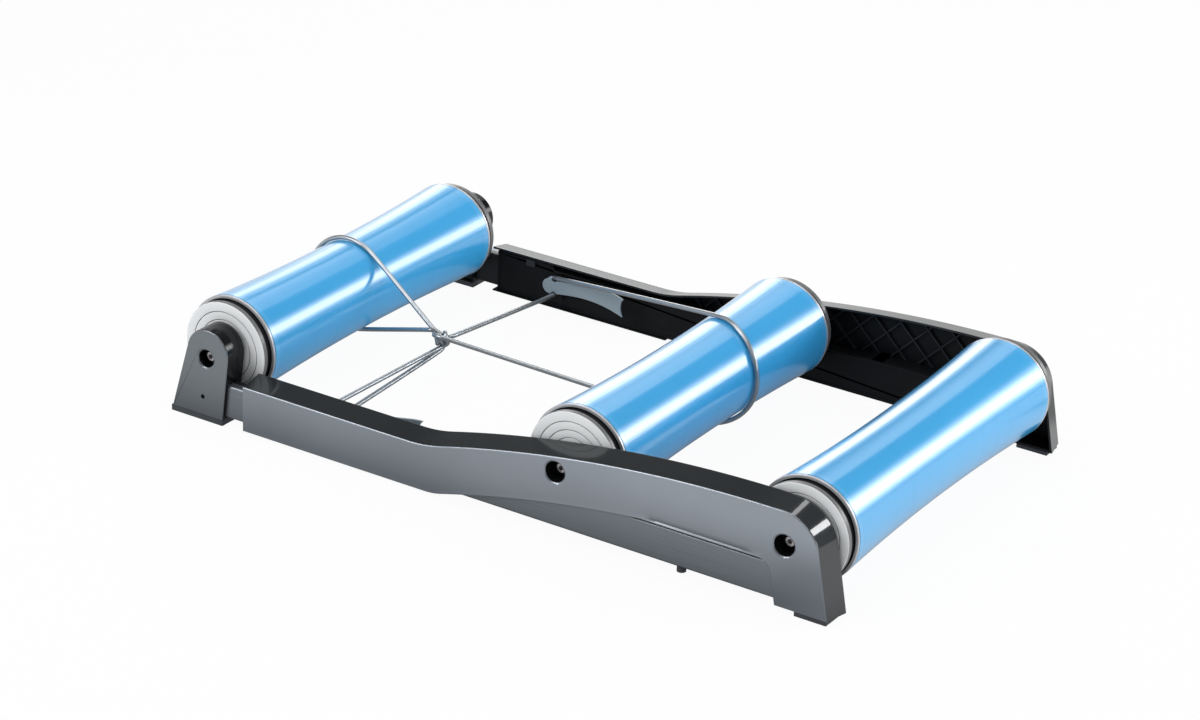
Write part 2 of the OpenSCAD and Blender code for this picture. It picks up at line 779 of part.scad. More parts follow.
// Outer rings with the balls that run between the rings
module outer_races(x, z) {
    race(x, z, bearing_od / 2 - race_t, bearing_od / 2 - seat_gap);
    color([0.8, 0.8, 0.82])
        for (s = [-1, 1]) on_side(s)
            for (i = [0:ball_count - 1])
                translate([x, bearing_y, z])
                    rotate([0, i * 360 / ball_count, 0])
                    translate([ball_ring_r, 0, 0])
                    sphere(r = ball_r, $fn = 24);
}

// Turns a section drawn in radius and Y about a roller's axis
module turned(x, z) {
    translate([x, 0, z]) rotate([-90, 0, 0]) rotate_extrude($fn = 180) children();
}

// Points of the waisted profile, moved inwards by inset, between -y1 and y1
function waist(inset, y1, n) = [
    for (i = [-n:n]) let (y = y1 * i / n) [roller_r(y) - inset, y]
];
function reversed(list) = [for (i = [len(list) - 1:-1:0]) list[i]];

module tube(x, z) {
    y1 = half_len - plug_depth;
    color([0.82, 0.83, 0.84])
        turned(x, z)
        polygon(concat(
            waist(sleeve_t + seat_gap, half_len, 16),
            [[plug_r, half_len]],
            reversed(waist(sleeve_t + tube_wall, y1, 12)),
            [[plug_r, -half_len]]
        ));
}

// Coloured sleeve over the tube
module sleeve(x, z) {
    y1 = half_len - sleeve_margin;
    color([0.24, 0.6, 0.84])
        turned(x, z)
        polygon(concat(waist(0, y1, 16), reversed(waist(sleeve_t, y1, 16))));
}

// Ribbed plug that carries the bearing in the end of the tube
module plug(x, z, s) {
    back_y = half_len - plug_depth;
    hub_r = bearing_od / 2 + plug_hub_wall;
    rim_r = plug_r - plug_rim_wall;
    web_y = cap_in_y - bearing_w - plug_end_t;
    color([0.05, 0.05, 0.06])
        on_side(s)
        difference() {
            union() {
                bar_y(x, z, back_y, half_len, plug_r - seat_gap);
                bar_y(x, z, half_len, cap_in_y, cap_r - collar_step);
            }
            difference() {
                bar_y(x, z, back_y - 1, web_y, rim_r);
                bar_y(x, z, back_y - 2, web_y + 1, hub_r);
                for (i = [0:2])
                    translate([x, back_y - 2, z]) rotate([-90, 0, 0]) rotate([0, 0, i * 60])
                        translate([-rim_r - 1, -plug_rib_t / 2, 0])
                        cube([2 * rim_r + 2, plug_rib_t, plug_depth + collar_w]);
            }
            bar_y(x, z, back_y - 1, cap_in_y + 1, bearing_od / 2 - race_t);
            bar_y(x, z, bearing_y - bearing_w / 2, cap_in_y + 1, bearing_od / 2);
        }
}

// Cover disc with a bevelled rim and fine turned grooves
module cap(x, z, s) {
    hole_r = spacer_d / 2 + turn_gap;
    color([0.82, 0.83, 0.84])
        on_side(s)
        turned(x, z)
        difference() {
            polygon([
                [hole_r, cap_in_y],
                [cap_r - cap_bevel, cap_in_y],
                [cap_r, cap_in_y + cap_bevel],
                [cap_r, cap_out_y - cap_bevel],
                [cap_r - cap_bevel, cap_out_y],
                [hole_r, cap_out_y]
            ]);
            for (r = cap_grooves)
                translate([r - groove_w / 2, cap_out_y - groove_w / 2]) square([groove_w, groove_w]);
        }
}

// Belt round a post or a roller: an arc of radius r about [x, z], and where each point is across the frame
function wrapped(x, z, r, a0, a1, places) = [
    for (i = [0:len(places) - 1])
        let (a = a0 + (a1 - a0) * i / (len(places) - 1))
        [x + r * cos(a), places[i], z + r * sin(a)]
];
function at_post(s) = wrapped(post_x, hook_z, turn_r, 87, 273, [for (i = [0:6]) s * strand_y]);
function at_notch(s, side, set_in) = [post_x + notch_x, s * (hook_face_y - set_in), hook_z + side * notch_z];
function at_knot(p) = [post_x + knot_back + p[0], p[1] - knot_side, knot_z + p[2]];

// Route of the drive belt, stored on its hooks: three strands meet and link behind the front roller
belt_route = concat(
    [for (p = [[-10, 6, 12.5], [-4, 3, 10], [-2, -4, 8.5]]) at_knot(p)],
    [at_notch(-1, 1, 6.5), at_notch(-1, 1, -1.5)],
    at_post(-1),
    [at_notch(-1, -1, -1.5), at_notch(-1, -1, 6.5)],
    [for (p = [[6.5, -6, -6.5], [8.5, 2, -5.5], [16, 6, -5.5]]) at_knot(p)],
    wrapped(middle_axle_x, rear_axle_z, waist_r + belt_d / 2 + belt_lift + 0.5, -97, 105,
        [40, 44, 48, 51, 53, 54, 56, 60, 65, 72, 78]),
    [[post_x + hook_flat, hook_face_y - 2, hook_z + notch_z + 4.3]],
    [[post_x + notch_x + 3, hook_back_y, hook_z + notch_z + 1.6]],
    at_post(1),
    [at_notch(1, -1, -1.5), at_notch(1, -1, 6.5)],
    [for (p = [[2.5, 2, 1], [1, -6, 2], [-6, -8, 1]]) at_knot(p)],
    wrapped(front_axle_x, front_axle_z, waist_r + belt_d / 2 + belt_lift, -76, -300.6,
        [8, 8, 8, 8, 8, 8, 8, 8, 8, 8, 8, 7, 7])
);

function unit(v) = v / norm(v);
function route_dir(p, i) =
    let (n = len(p))
    unit(unit(p[(i + 1) % n] - p[i]) + unit(p[i] - p[(i + n - 1) % n]));
function carried(v, t) = unit(v - (v * t) * t);

// Side directions carried along a closed route without twist, one more than it has points
function route_sides(p) = [
    for (i = 0, v = carried([0.3, 0.2, 1], route_dir(p, 0));
        i <= len(p);
        i = i + 1, v = carried(v, route_dir(p, i % len(p)))) v
];

// Closed tube along a route, with n sides. The twist left at the end is shared over all rings.
module closed_tube(p, r, n) {
    m = len(p);
    side = route_sides(p);
    t0 = route_dir(p, 0);
    slip = atan2(cross(side[0], side[m]) * t0, side[0] * side[m]);
    step = slip - round(slip * n / 360) * 360 / n;
    shift = round(slip * n / 360);
    points = [
        for (i = [0:m - 1])
            let (t = route_dir(p, i), u = side[i], w = cross(t, u))
            for (k = [0:n - 1])
                let (a = 360 * k / n - step * i / m)
                p[i] + r * (cos(a) * u + sin(a) * w)
    ];
    faces = [
        for (i = [0:m - 1]) for (k = [0:n - 1])
            let (
                j = (i + 1) % m,
                turn = j == 0 ? shift : 0,
                a = i * n + k,
                b = i * n + (k + 1) % n,
                c = j * n + (k + 1 + turn + n) % n,
                d = j * n + (k + turn + n) % n
            )
            for (tri = [[a, c, b], [a, d, c]]) tri
    ];
    polyhedron(points, faces);
}

module drive_belt() {
    color([0.17, 0.19, 0.21]) closed_tube(belt_route, belt_d / 2, 8);
}

rail(-1);  // rail_left
rail(1);  // rail_right
slide_guide(-1);  // slide_guide_left
slide_guide(1);  // slide_guide_right
belt_hook(-1);  // belt_hook_left
belt_hook(1);  // belt_hook_right
guide_screws();
rear_foot(-1);  // rear_foot_left
rear_foot(1);  // rear_foot_right
mid_foot(-1);  // mid_foot_left
mid_foot(1);  // mid_foot_right
axle(middle_axle_x, rear_axle_z);  // middle_axle
axle_bolts(middle_axle_x, rear_axle_z, seat_y + web_t);  // middle_axle_bolts
inner_races(middle_axle_x, rear_axle_z);  // middle_inner_races
spacers(middle_axle_x, rear_axle_z);  // middle_spacers
axle(rear_axle_x, rear_axle_z);  // rear_axle
axle_bolts(rear_axle_x, rear_axle_z, seat_y + web_t);  // rear_axle_bolts
inner_races(rear_axle_x, rear_axle_z);  // rear_inner_races
spacers(rear_axle_x, rear_axle_z);  // rear_spacers
slide_bar(-1);  // slide_bar_left
slide_bar(1);  // slide_bar_right
front_bracket(-1);  // front_bracket_left
front_bracket(1);  // front_bracket_right
bracket_screws();
front_foot(-1);  // front_foot_left
front_foot(1);  // front_foot_right
axle(front_axle_x, front_axle_z);  // front_axle
axle_bolts(front_axle_x, front_axle_z, outer_y - bracket_web);  // front_axle_bolts
inner_races(front_axle_x, front_axle_z);  // front_inner_races
spacers(front_axle_x, front_axle_z);  // front_spacers
tube(front_axle_x, front_axle_z);  // front_tube
sleeve(front_axle_x, front_axle_z);  // front_sleeve
plug(front_axle_x, front_axle_z, -1);  // front_plug_left
plug(front_axle_x, front_axle_z, 1);  // front_plug_right
cap(front_axle_x, front_axle_z, -1);  // front_cap_left
cap(front_axle_x, front_axle_z, 1);  // front_cap_right
outer_races(front_axle_x, front_axle_z);  // front_outer_races
tube(middle_axle_x, rear_axle_z);  // middle_tube
sleeve(middle_axle_x, rear_axle_z);  // middle_sleeve
plug(middle_axle_x, rear_axle_z, -1);  // middle_plug_left
plug(middle_axle_x, rear_axle_z, 1);  // middle_plug_right
cap(middle_axle_x, rear_axle_z, -1);  // middle_cap_left
cap(middle_axle_x, rear_axle_z, 1);  // middle_cap_right
outer_races(middle_axle_x, rear_axle_z);  // middle_outer_races
tube(rear_axle_x, rear_axle_z);  // rear_tube
sleeve(rear_axle_x, rear_axle_z);  // rear_sleeve
plug(rear_axle_x, rear_axle_z, -1);  // rear_plug_left
plug(rear_axle_x, rear_axle_z, 1);  // rear_plug_right
cap(rear_axle_x, rear_axle_z, -1);  // rear_cap_left
cap(rear_axle_x, rear_axle_z, 1);  // rear_cap_right
outer_races(rear_axle_x, rear_axle_z);  // rear_outer_races
drive_belt();
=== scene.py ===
# %% [markdown]
# # Bike rollers, dressed on their CAD frame
# Three waisted rollers turn between two moulded side rails. The front roller sits on a section that
# slides out of the rails, and a rubber belt ties it to the middle roller. The CAD model fixes where
# everything is. This script gives each visible part its real surface: rounded edges, moulded ribs,
# grooves and finishes. It is in metres, with X along the frame, Y across it and Z up.

# %% Load the frame
import math

import bmesh
import bpy
from mathutils import Matrix, Vector


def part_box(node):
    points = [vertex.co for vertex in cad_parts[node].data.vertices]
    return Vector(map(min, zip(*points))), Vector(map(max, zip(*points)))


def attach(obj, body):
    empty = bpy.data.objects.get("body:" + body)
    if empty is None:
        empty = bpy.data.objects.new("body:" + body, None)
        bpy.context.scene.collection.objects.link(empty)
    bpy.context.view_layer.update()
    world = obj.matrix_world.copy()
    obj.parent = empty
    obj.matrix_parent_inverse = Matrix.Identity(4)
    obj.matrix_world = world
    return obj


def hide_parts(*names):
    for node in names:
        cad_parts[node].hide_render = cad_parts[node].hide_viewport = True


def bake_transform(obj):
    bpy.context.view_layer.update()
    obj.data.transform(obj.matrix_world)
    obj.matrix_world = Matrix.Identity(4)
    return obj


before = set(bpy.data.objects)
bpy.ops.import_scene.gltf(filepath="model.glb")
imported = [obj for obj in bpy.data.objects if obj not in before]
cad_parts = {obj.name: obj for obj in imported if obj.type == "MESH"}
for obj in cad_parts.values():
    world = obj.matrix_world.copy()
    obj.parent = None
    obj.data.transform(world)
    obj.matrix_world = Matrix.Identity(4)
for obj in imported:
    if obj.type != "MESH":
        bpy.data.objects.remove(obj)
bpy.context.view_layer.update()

# %% [markdown]
# ## The places that everything is built on
# A piece looks right only when it sits exactly on its CAD part, so the main places are read from the
# boxes of the CAD nodes and never typed again.

# %% Read the main places
MM = 0.001


def middle_of(node):
    """Centre of a CAD node's box."""
    low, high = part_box(node)
    return (low + high) / 2


AXLES = {name: middle_of(name + "_tube") for name in ("front", "middle", "rear")}
RAIL_LOW, RAIL_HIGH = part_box("rail_right")
OUTER_Y = RAIL_HIGH.y
INNER_Y = RAIL_LOW.y
HALF_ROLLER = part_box("middle_tube")[1].y
SIDES = {"left": -1, "right": 1}
for name, place in AXLES.items():
    print(name, "axle at x %.4f, z %.4f" % (place.x, place.z))

# %% [markdown]
# ## Writing shader maths as expressions
# A material is a small program made of nodes. Wiring Math nodes by hand is slow to read, so a small
# class wraps a socket, and Python's own operators add the nodes. Any other node comes from one method of the
# tree that it belongs to, which is a material's, the sky's or a Geometry Nodes tree.

# %% A socket that understands arithmetic
class Wire:
    """One output socket of a tree under construction."""

    def __init__(self, owner, socket):
        self.owner = owner
        self.socket = socket

    def maths(self, operation, *values):
        """A Math node. The wire is its first value."""
        sockets = {"i%d" % number: value for number, value in enumerate((self, *values))}
        return self.owner.wire(self.owner.node("ShaderNodeMath", {"operation": operation}, **sockets))

    def __add__(self, other):
        return self.maths("ADD", other)

    def __sub__(self, other):
        return self.maths("SUBTRACT", other)

    def __mul__(self, other):
        return self.maths("MULTIPLY", other)

    def __rsub__(self, other):
        return self.maths("MULTIPLY", -1.0).maths("ADD", other)

    def __abs__(self):
        return self.maths("ABSOLUTE")

    __radd__ = __add__
    __rmul__ = __mul__

    def above(self, edge, blur):
        """0 below an edge and 1 above it, with a soft step of that width."""
        step = self.owner.node("ShaderNodeMapRange", {"interpolation_type": "SMOOTHSTEP"}, Value=self,
                               From_Min=edge - blur / 2, From_Max=edge + blur / 2)
        return self.owner.wire(step)

    def band(self, centre, width, blur):
        """1 within a band and 0 outside it."""
        return 1 - abs(self - centre).above(width / 2, blur)


# %% A tree that is being built
class Tree:
    """A node tree under construction."""

    def __init__(self, tree):
        self.tree = tree

    def fill(self, slot, value):
        """Joins a wire or a node's first output to a slot, or sets the slot to a plain value."""
        if isinstance(value, bpy.types.Node):
            value = self.wire(value)
        if isinstance(value, Wire):
            self.tree.links.new(value.socket, slot)
        else:
            slot.default_value = value

    def node(self, kind, settings=None, **sockets):
        """Any node: its settings first, then the values or wires of its sockets. A socket named i0 or i1 is
        taken by number, and an underscore in a name stands for a space."""
        made = self.tree.nodes.new(kind)
        for key, value in (settings or {}).items():
            if key == "stops":
                for stop, (place, colour) in zip(made.color_ramp.elements, value):
                    stop.position = place
                    stop.color = (*colour, 1)
            else:
                setattr(made, key, value)
        for key, value in sockets.items():
            numbered = key[0] == "i" and key[1:].isdigit()
            self.fill(made.inputs[int(key[1:]) if numbered else key.replace("_", " ")], value)
        return made

    def wire(self, made, output=0):
        """A node's output as a wire."""
        return Wire(self, made.outputs[output])

    def split(self, vector):
        """X, Y and Z of a vector as wires."""
        made = self.node("ShaderNodeSeparateXYZ", i0=vector)
        return [self.wire(made, number) for number in range(3)]

    def mix(self, mask, first, second):
        """A colour that goes from first to second with the mask."""
        first, second = (value if isinstance(value, Wire) else (*value, 1) for value in (first, second))
        return self.wire(self.node("ShaderNodeMix", {"data_type": "RGBA"}, i0=mask, i6=first, i7=second), 2)


# %% A finish: one material with its tree
class Finish(Tree):
    """A material whose Principled shader gets constants at once and changing values by wire."""

    def __init__(self, name, colour, **fixed):
        self.material = bpy.data.materials.new(name)
        self.material.use_nodes = True
        self.material.diffuse_color = (*colour, 1)
        super().__init__(self.material.node_tree)
        self.shader = self.tree.nodes["Principled BSDF"]
        self.feed(Base_Color=(*colour, 1), **fixed)

    def feed(self, **sockets):
        """Values or wires for the shader's sockets."""
        for socket, value in sockets.items():
            self.fill(self.shader.inputs[socket.replace("_", " ")], value)

    def place(self):
        """Object coordinates as X, Y and Z wires and as one vector."""
        vector = self.wire(self.node("ShaderNodeTexCoord"), "Object")
        return *self.split(vector), vector

    def noise(self, vector, scale, detail=2.0, roughness=0.5):
        """Noise between 0 and 1."""
        return self.wire(self.node("ShaderNodeTexNoise", Vector=vector, Scale=scale, Detail=detail,
                                   Roughness=roughness), "Fac")

    def bump(self, height, distance, strength):
        """A Bump node that feeds Normal. Distance is the real height in metres."""
        return self.wire(self.node("ShaderNodeBump", Height=height, Distance=distance, Strength=strength))


# %% [markdown]
# ## Finishes of the moulded frame
# The rails and brackets are one dark grey moulding. Its outer faces are satin with a metal glint and look mid
# grey, and its flanges are smoother and almost black. So a mask on Y tells faces from flanges, and a clear
# coat lies over both. The face is painted a little paler where it is highest, which is painted light, and
# darker down the leg, which is painted shade. The brackets have the same finish in darker tones.

# %% Finish of the rails and brackets
SPECK = 900.0
FACE_METAL, FACE_COAT, CORNER_COAT = 0.85, 0.62, 0.85


def moulded_frame(name, faces, flanges, metal, gloss):
    """Grey moulding. Faces and flanges are two tones each, which a soft cloud mixes. The faces also carry
    painted light, paler where they are highest, and painted shade, darker down the leg. Gloss is how strong
    the clear coat is on the flanges. It is strongest round the rear corner."""
    look = Finish(name, faces[1], Specular_IOR_Level=0.12, Coat_IOR=1.6, Coat_Roughness=0.06)
    x, y, z, place = look.place()
    face = abs(y).above(OUTER_Y - 0.9 * MM, 0.7 * MM)
    inside = 1 - abs(y).above(INNER_Y + 0.5 * MM, 0.4 * MM)
    grain = look.noise(place, SPECK, 3.0)
    cloud = look.noise(place, 7.0, 2.0)
    # Painted light and shade: paler where the face is highest, darker down the leg.
    painted_leg_shade = x.above(0.335, 0.1) * (1 - z.above(0.055, 0.07))
    tone_and_painted_light = 0.25 + 0.5 * cloud + 0.35 * x.above(0.1, 0.3) * z.above(0.075, 0.04) - 0.9 * painted_leg_shade
    grey = look.mix(tone_and_painted_light.maths("MAXIMUM", 0.0).maths("MINIMUM", 1.0), *faces)
    dark = look.mix(cloud, *flanges)
    look.feed(
        Base_Color=look.mix(face, dark, grey),
        Metallic=metal + (FACE_METAL - metal) * face,
        Roughness=0.17 + 0.19 * face + 0.06 * grain,
        Coat_Weight=(1 - inside) * (gloss + 0.08 * cloud + (FACE_COAT - gloss) * face
                                    + (CORNER_COAT - gloss) * x.above(0.33, 0.06) * (1 - face)),
        Normal=look.bump(grain, 0.02 * MM, 0.5),
    )
    return look.material


RAIL_GREY = moulded_frame("rail_moulding", ((0.17, 0.192, 0.222), (0.315, 0.348, 0.392)),
                          ((0.024, 0.028, 0.031), (0.038, 0.042, 0.045)), 0.4, 0.24)
BRACKET_GREY = moulded_frame("bracket_moulding", ((0.13, 0.147, 0.164), (0.205, 0.229, 0.252)),
                             ((0.003, 0.004, 0.005), (0.006, 0.007, 0.008)), 0.03, 0.22)
print("finishes:", RAIL_GREY.name, BRACKET_GREY.name)


# %% Finish of the black inside of the rails
def black_moulding(name, tone, grain_scale, grain_depth, rough, rim_y=None):
    """Unpainted black plastic with a spark-eroded texture. A rim further in than rim_y is painted paler, a
    painted highlight along the raised rim.
    """
    look = Finish(name, (tone, tone, tone * 1.05), Specular_IOR_Level=0.13)
    _, y, _, place = look.place()
    grain = look.noise(place, grain_scale, 4.0, 0.6)
    cloud = look.noise(place, 22.0, 2.0)
    body = look.mix(cloud, (tone * 0.7, tone * 0.75, tone * 0.85), (tone * 1.2, tone * 1.3, tone * 1.5))
    if rim_y:
        # Painted highlight: the raised rim is painted paler than the panel it stands round.
        body = look.mix(abs(y).above(rim_y, 0.4 * MM), (tone * 3.5, tone * 3.8, tone * 4.2), body)
    look.feed(
        Base_Color=body,
        Roughness=rough - 0.08 + 0.16 * grain,
        Normal=look.bump(grain, grain_depth, 0.6),
    )
    return look.material


GUIDE_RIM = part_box("slide_guide_right")[0].y + 0.6 * MM
GUIDE_BLACK = black_moulding("guide_moulding", 0.008, 700.0, 0.05 * MM, 0.42, GUIDE_RIM)
RAIL_INSIDE = black_moulding("rail_inside", 0.008, 600.0, 0.05 * MM, 0.4)
PLUG_BLACK = black_moulding("plug_moulding", 0.012, 900.0, 0.03 * MM, 0.38)
RIB_BLACK = black_moulding("rib_moulding", 0.03, 600.0, 0.03 * MM, 0.35)
FOOT_RUBBER = black_moulding("foot_pad", 0.06, 500.0, 0.06 * MM, 0.7)
SCREW_BLACK = black_moulding("screw_finish", 0.014, 1200.0, 0.02 * MM, 0.35)
print("black finishes made")


# %% [markdown]
# ## Finishes of the rollers
# The sleeve is a glossy blue film on a turned tube: a clear coat over a clean colour, with very fine turning
# marks round it. The caps are pale moulded plastic whose face is turned too, and what lies deeper than the
# face, its grooves, bore and side, is painted darker as shade. The bare tube ends are grey and shine a little
# like metal, and the axles, bearings and bolts are steel.

# %% Finish of the blue sleeves
def blue_sleeve():
    look = Finish("sleeve_film", (0.045, 0.38, 0.76), Roughness=0.3, Specular_IOR_Level=0.35, Coat_Weight=1.0,
                  Coat_Roughness=0.12, Coat_IOR=1.6)
    _, y, _, place = look.place()
    turned = look.wire(look.node("ShaderNodeTexNoise", {"noise_dimensions": "1D"}, W=y * 1400.0, Scale=1.0,
                                 Detail=3.0), "Fac")
    cloud = look.noise(place, 9.0, 2.0)
    line = (abs(y).band(HALF_ROLLER - 5.6 * MM, 0.6 * MM, 0.5 * MM)
            + abs(y).band(HALF_ROLLER - 8.8 * MM, 0.6 * MM, 0.5 * MM)).maths("MINIMUM", 1.0)
    body = look.mix(cloud, (0.038, 0.365, 0.73), (0.05, 0.4, 0.78))
    look.feed(
        Base_Color=look.mix(line, body, (0.18, 0.5, 0.86)),
        Roughness=0.24 + 0.12 * turned,
        Normal=look.bump(turned - line * 3.0, 0.006 * MM, 0.5),
    )
    return look.material


SLEEVE_BLUE = blue_sleeve()


# %% Finishes of the caps and tube ends
CAP_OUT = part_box("middle_cap_right")[1].y


def turned_surface(name, low, high, metal, rough, groove_shade_tone=None):
    """A turned part in two tones. With a groove shade tone, what lies deeper than the cap's face, its
    grooves, bore and side, is painted darker as shade.
    """
    look = Finish(name, high, Specular_IOR_Level=0.5)
    _, y, _, place = look.place()
    cloud = look.noise(place, 30.0, 3.0)
    fine = look.noise(place, 1500.0, 2.0)
    body = look.mix(cloud, low, high)
    if groove_shade_tone:
        # Painted shade: the grooves, bore and side of a cap, which lie deeper than its face.
        painted_groove_shade = 1 - abs(y).above(CAP_OUT - 0.45 * MM, 0.5 * MM)
        body = look.mix(painted_groove_shade, body, (groove_shade_tone,) * 3)
    look.feed(
        Base_Color=body,
        Metallic=metal + 0.05 * cloud,
        Roughness=rough + 0.08 * fine,
        Normal=look.bump(fine, 0.012 * MM, 0.35),
    )
    return look.material


CAP_GREY = turned_surface("cap_plastic", (0.8, 0.82, 0.84), (0.88, 0.9, 0.91), 0.0, 0.3, 0.15)
TUBE_GREY = turned_surface("tube_metal", (0.5, 0.51, 0.53), (0.6, 0.61, 0.63), 0.35, 0.24)
BRIGHT_STEEL = turned_surface("bright_metal", (0.6, 0.6, 0.61), (0.72, 0.72, 0.73), 0.92, 0.22)
BOLT_STEEL = turned_surface("bolt_metal", (0.3, 0.28, 0.29), (0.42, 0.4, 0.41), 0.92, 0.2)
print("roller finishes made")

# %% [markdown]
# ## Finishes of the bars, hooks and belt
# The slide bar is drawn metal, so its grain runs along X, and its side towards the rollers is black. The
# hook is a satin blue-grey moulding, and the belt is a grey rubber cord whose skin is so smooth that it
# mirrors like metal and carries a bright line.

# %% Finish of the slide bars
BAR_MIDDLE = middle_of("slide_bar_right").y


def drawn_bar():
    look = Finish("drawn_bar", (0.23, 0.25, 0.275), Specular_IOR_Level=0.4)
    _, y, _, place = look.place()
    stretched = look.node("ShaderNodeMapping", Vector=place, Scale=(6.0, 900.0, 900.0))
    grain = look.noise(look.wire(stretched), 1.0, 3.0)
    outer = abs(y).above(BAR_MIDDLE, 1 * MM)
    dark = look.mix(grain, (0.008, 0.01, 0.012), (0.014, 0.017, 0.02))
    look.feed(
        Base_Color=look.mix(outer, dark, look.mix(grain, (0.17, 0.19, 0.215), (0.25, 0.275, 0.305))),
        Metallic=(0.75 + 0.1 * grain) * outer,
        Roughness=0.3 + 0.12 * grain,
        Normal=look.bump(grain, 0.01 * MM, 0.5),
    )
    return look.material


BAR_GREY = drawn_bar()


# %% Finishes of the hooks and the belt
def satin_hook():
    look = Finish("hook_moulding", (0.2, 0.25, 0.285), Specular_IOR_Level=0.5)
    place = look.place()[3]
    grain = look.noise(place, 800.0, 3.0)
    cloud = look.noise(place, 26.0, 2.0)
    look.feed(
        Base_Color=look.mix(cloud, (0.2, 0.255, 0.29), (0.26, 0.31, 0.345)),
        Roughness=0.36 + 0.1 * grain,
        Normal=look.bump(grain, 0.02 * MM, 0.5),
    )
    return look.material


def rubber_cord():
    look = Finish("belt_cord", (0.36, 0.38, 0.4), Coat_Weight=0.4, Coat_IOR=1.5, Coat_Roughness=0.1)
    place = look.place()[3]
    grain = look.noise(place, 120.0, 2.0)
    cloud = look.noise(place, 40.0, 2.0)
    look.feed(
        Base_Color=look.mix(cloud, (0.34, 0.365, 0.385), (0.42, 0.445, 0.465)),
        Metallic=0.72 + 0.12 * cloud,
        Roughness=0.26 + 0.08 * grain,
    )
    return look.material


HOOK_GREY = satin_hook()
BELT_RUBBER = rubber_cord()

# %% [markdown]
# ## Camera
# The photograph was taken from behind on the left and from above, with a long lens from about 3.8 m away. The
# object stands left of the picture's middle, so the lens is shifted by 0.15 of the picture's width, which
# keeps the camera's direction and moves only the frame.

# %% Make the camera
AZIMUTH, ELEVATION, ROLL = (math.radians(a) for a in (35.03, 24.47, 0.98))
CAMERA_AT = (1.8157, -2.9425, 1.6462)
FOCAL_LENGTH, SENSOR_W, SHIFT = 108.84, 36.0, 0.15
VIEW_DIR = Vector((-math.sin(AZIMUTH) * math.cos(ELEVATION), math.cos(AZIMUTH) * math.cos(ELEVATION),
                   -math.sin(ELEVATION)))
level = Vector((math.cos(AZIMUTH), math.sin(AZIMUTH), 0))
upward = level.cross(VIEW_DIR)
right_hand = math.cos(ROLL) * level + math.sin(ROLL) * upward
top_side = math.cos(ROLL) * upward - math.sin(ROLL) * level

lens = bpy.data.cameras.new("camera")
lens.sensor_width = SENSOR_W
lens.lens = FOCAL_LENGTH
lens.shift_x = SHIFT
camera = bpy.data.objects.new("camera", lens)
camera.matrix_world = Matrix([
    (right_hand[row], top_side[row], -VIEW_DIR[row], CAMERA_AT[row]) for row in range(3)
] + [(0, 0, 0, 1)])
bpy.context.scene.collection.objects.link(camera)
bpy.context.scene.camera = camera
bpy.context.scene.view_settings.view_transform = "Standard"
print("camera at", [round(v, 3) for v in camera.location])

# %% [markdown]
# ## Studio
# The floor is plain and pale. The camera sees it near white, and so do mirrors, but close under the frame the
# glow that mirrors see is dimmed, which is painted shade. Scattered light meets a floor that glows a little,
# painted light which lifts the undersides, and a part of the floor stays ordinary, so the shadow under the
# object stays. The sky is white near the horizon on the picture's left and dimmer elsewhere, which keeps the
# flanges of the rails dark. Soft lamps behind the object draw the white streaks along the rollers. Each
# streak has two or three lamps, one behind the other and each larger than the one before it, so that its
# edges fade.
# They don't lie in one plane, because lamps in one plane hide each other in a mirror. Lamps in front draw the
# lines along the rails' edges, and two small ones behind the rear corner draw the white patches on its round
# flange.

# %% Floor
def pale_floor():
    look = Finish("studio_floor", (0.82, 0.82, 0.82), Roughness=0.9)
    path = look.node("ShaderNodeLightPath")
    camera_sees, scattered, glossy, through = (
        look.wire(path, "Is %s Ray" % kind) for kind in ("Camera", "Diffuse", "Glossy", "Transmission"))
    mirrored = (glossy + through).maths("MINIMUM", 1.0)
    x, y = look.place()[:2]
    # Painted shade: mirrors see less glow from the floor under the frame and for short rays, but full glow
    # beside, in front and far off.
    long_way = look.wire(path, "Ray Length").above(0.25, 0.1)
    beside = x.above(0.4, 0.3) * (1 - y.above(0.33, 0.06))
    outside_painted_shade = beside.maths("MAXIMUM", 1 - y.above(-0.3, 0.12)).maths("MAXIMUM", long_way)
    share = camera_sees * 0.95 + mirrored * 0.8 + scattered * 0.75
    glow_level = camera_sees + scattered + mirrored * (0.2 + 0.75 * outside_painted_shade)
    glow = look.node("ShaderNodeEmission", Color=glow_level)
    blend = look.node("ShaderNodeMixShader", i0=share.maths("MINIMUM", 1.0), i1=look.shader, i2=glow)
    look.fill(look.tree.nodes["Material Output"].inputs["Surface"], blend)
    return look.material


FLOOR_CORNERS = [(-9, -7, 0), (9, -7, 0), (9, 14, 0), (-9, 14, 0)]
floor_mesh = bpy.data.meshes.new("floor")
floor_mesh.from_pydata(FLOOR_CORNERS, [], [(0, 1, 2, 3)])
floor_mesh.materials.append(pale_floor())
floor = bpy.data.objects.new("floor", floor_mesh)
bpy.context.scene.collection.objects.link(floor)

# %% Sky
DIM_SKY = (0.19, 0.195, 0.2)
world = bpy.data.worlds.new("studio_sky")
bpy.context.scene.world = world
world.use_nodes = True
sky = Tree(world.node_tree)
towards_x, _, towards_z = sky.split(sky.wire(sky.node("ShaderNodeTexCoord"), "Generated"))
ramp = sky.node("ShaderNodeValToRGB", {"stops": ((0.09, (1, 1, 1)), (0.34, DIM_SKY))}, i0=towards_z)
left_side = sky.node("ShaderNodeMapRange", Value=towards_x, From_Min=0.05, From_Max=-0.25)
background = world.node_tree.nodes["Background"]
sky.fill(background.inputs["Color"], sky.mix(left_side, DIM_SKY, sky.wire(ramp)))
sky.fill(background.inputs["Strength"], 1.0)


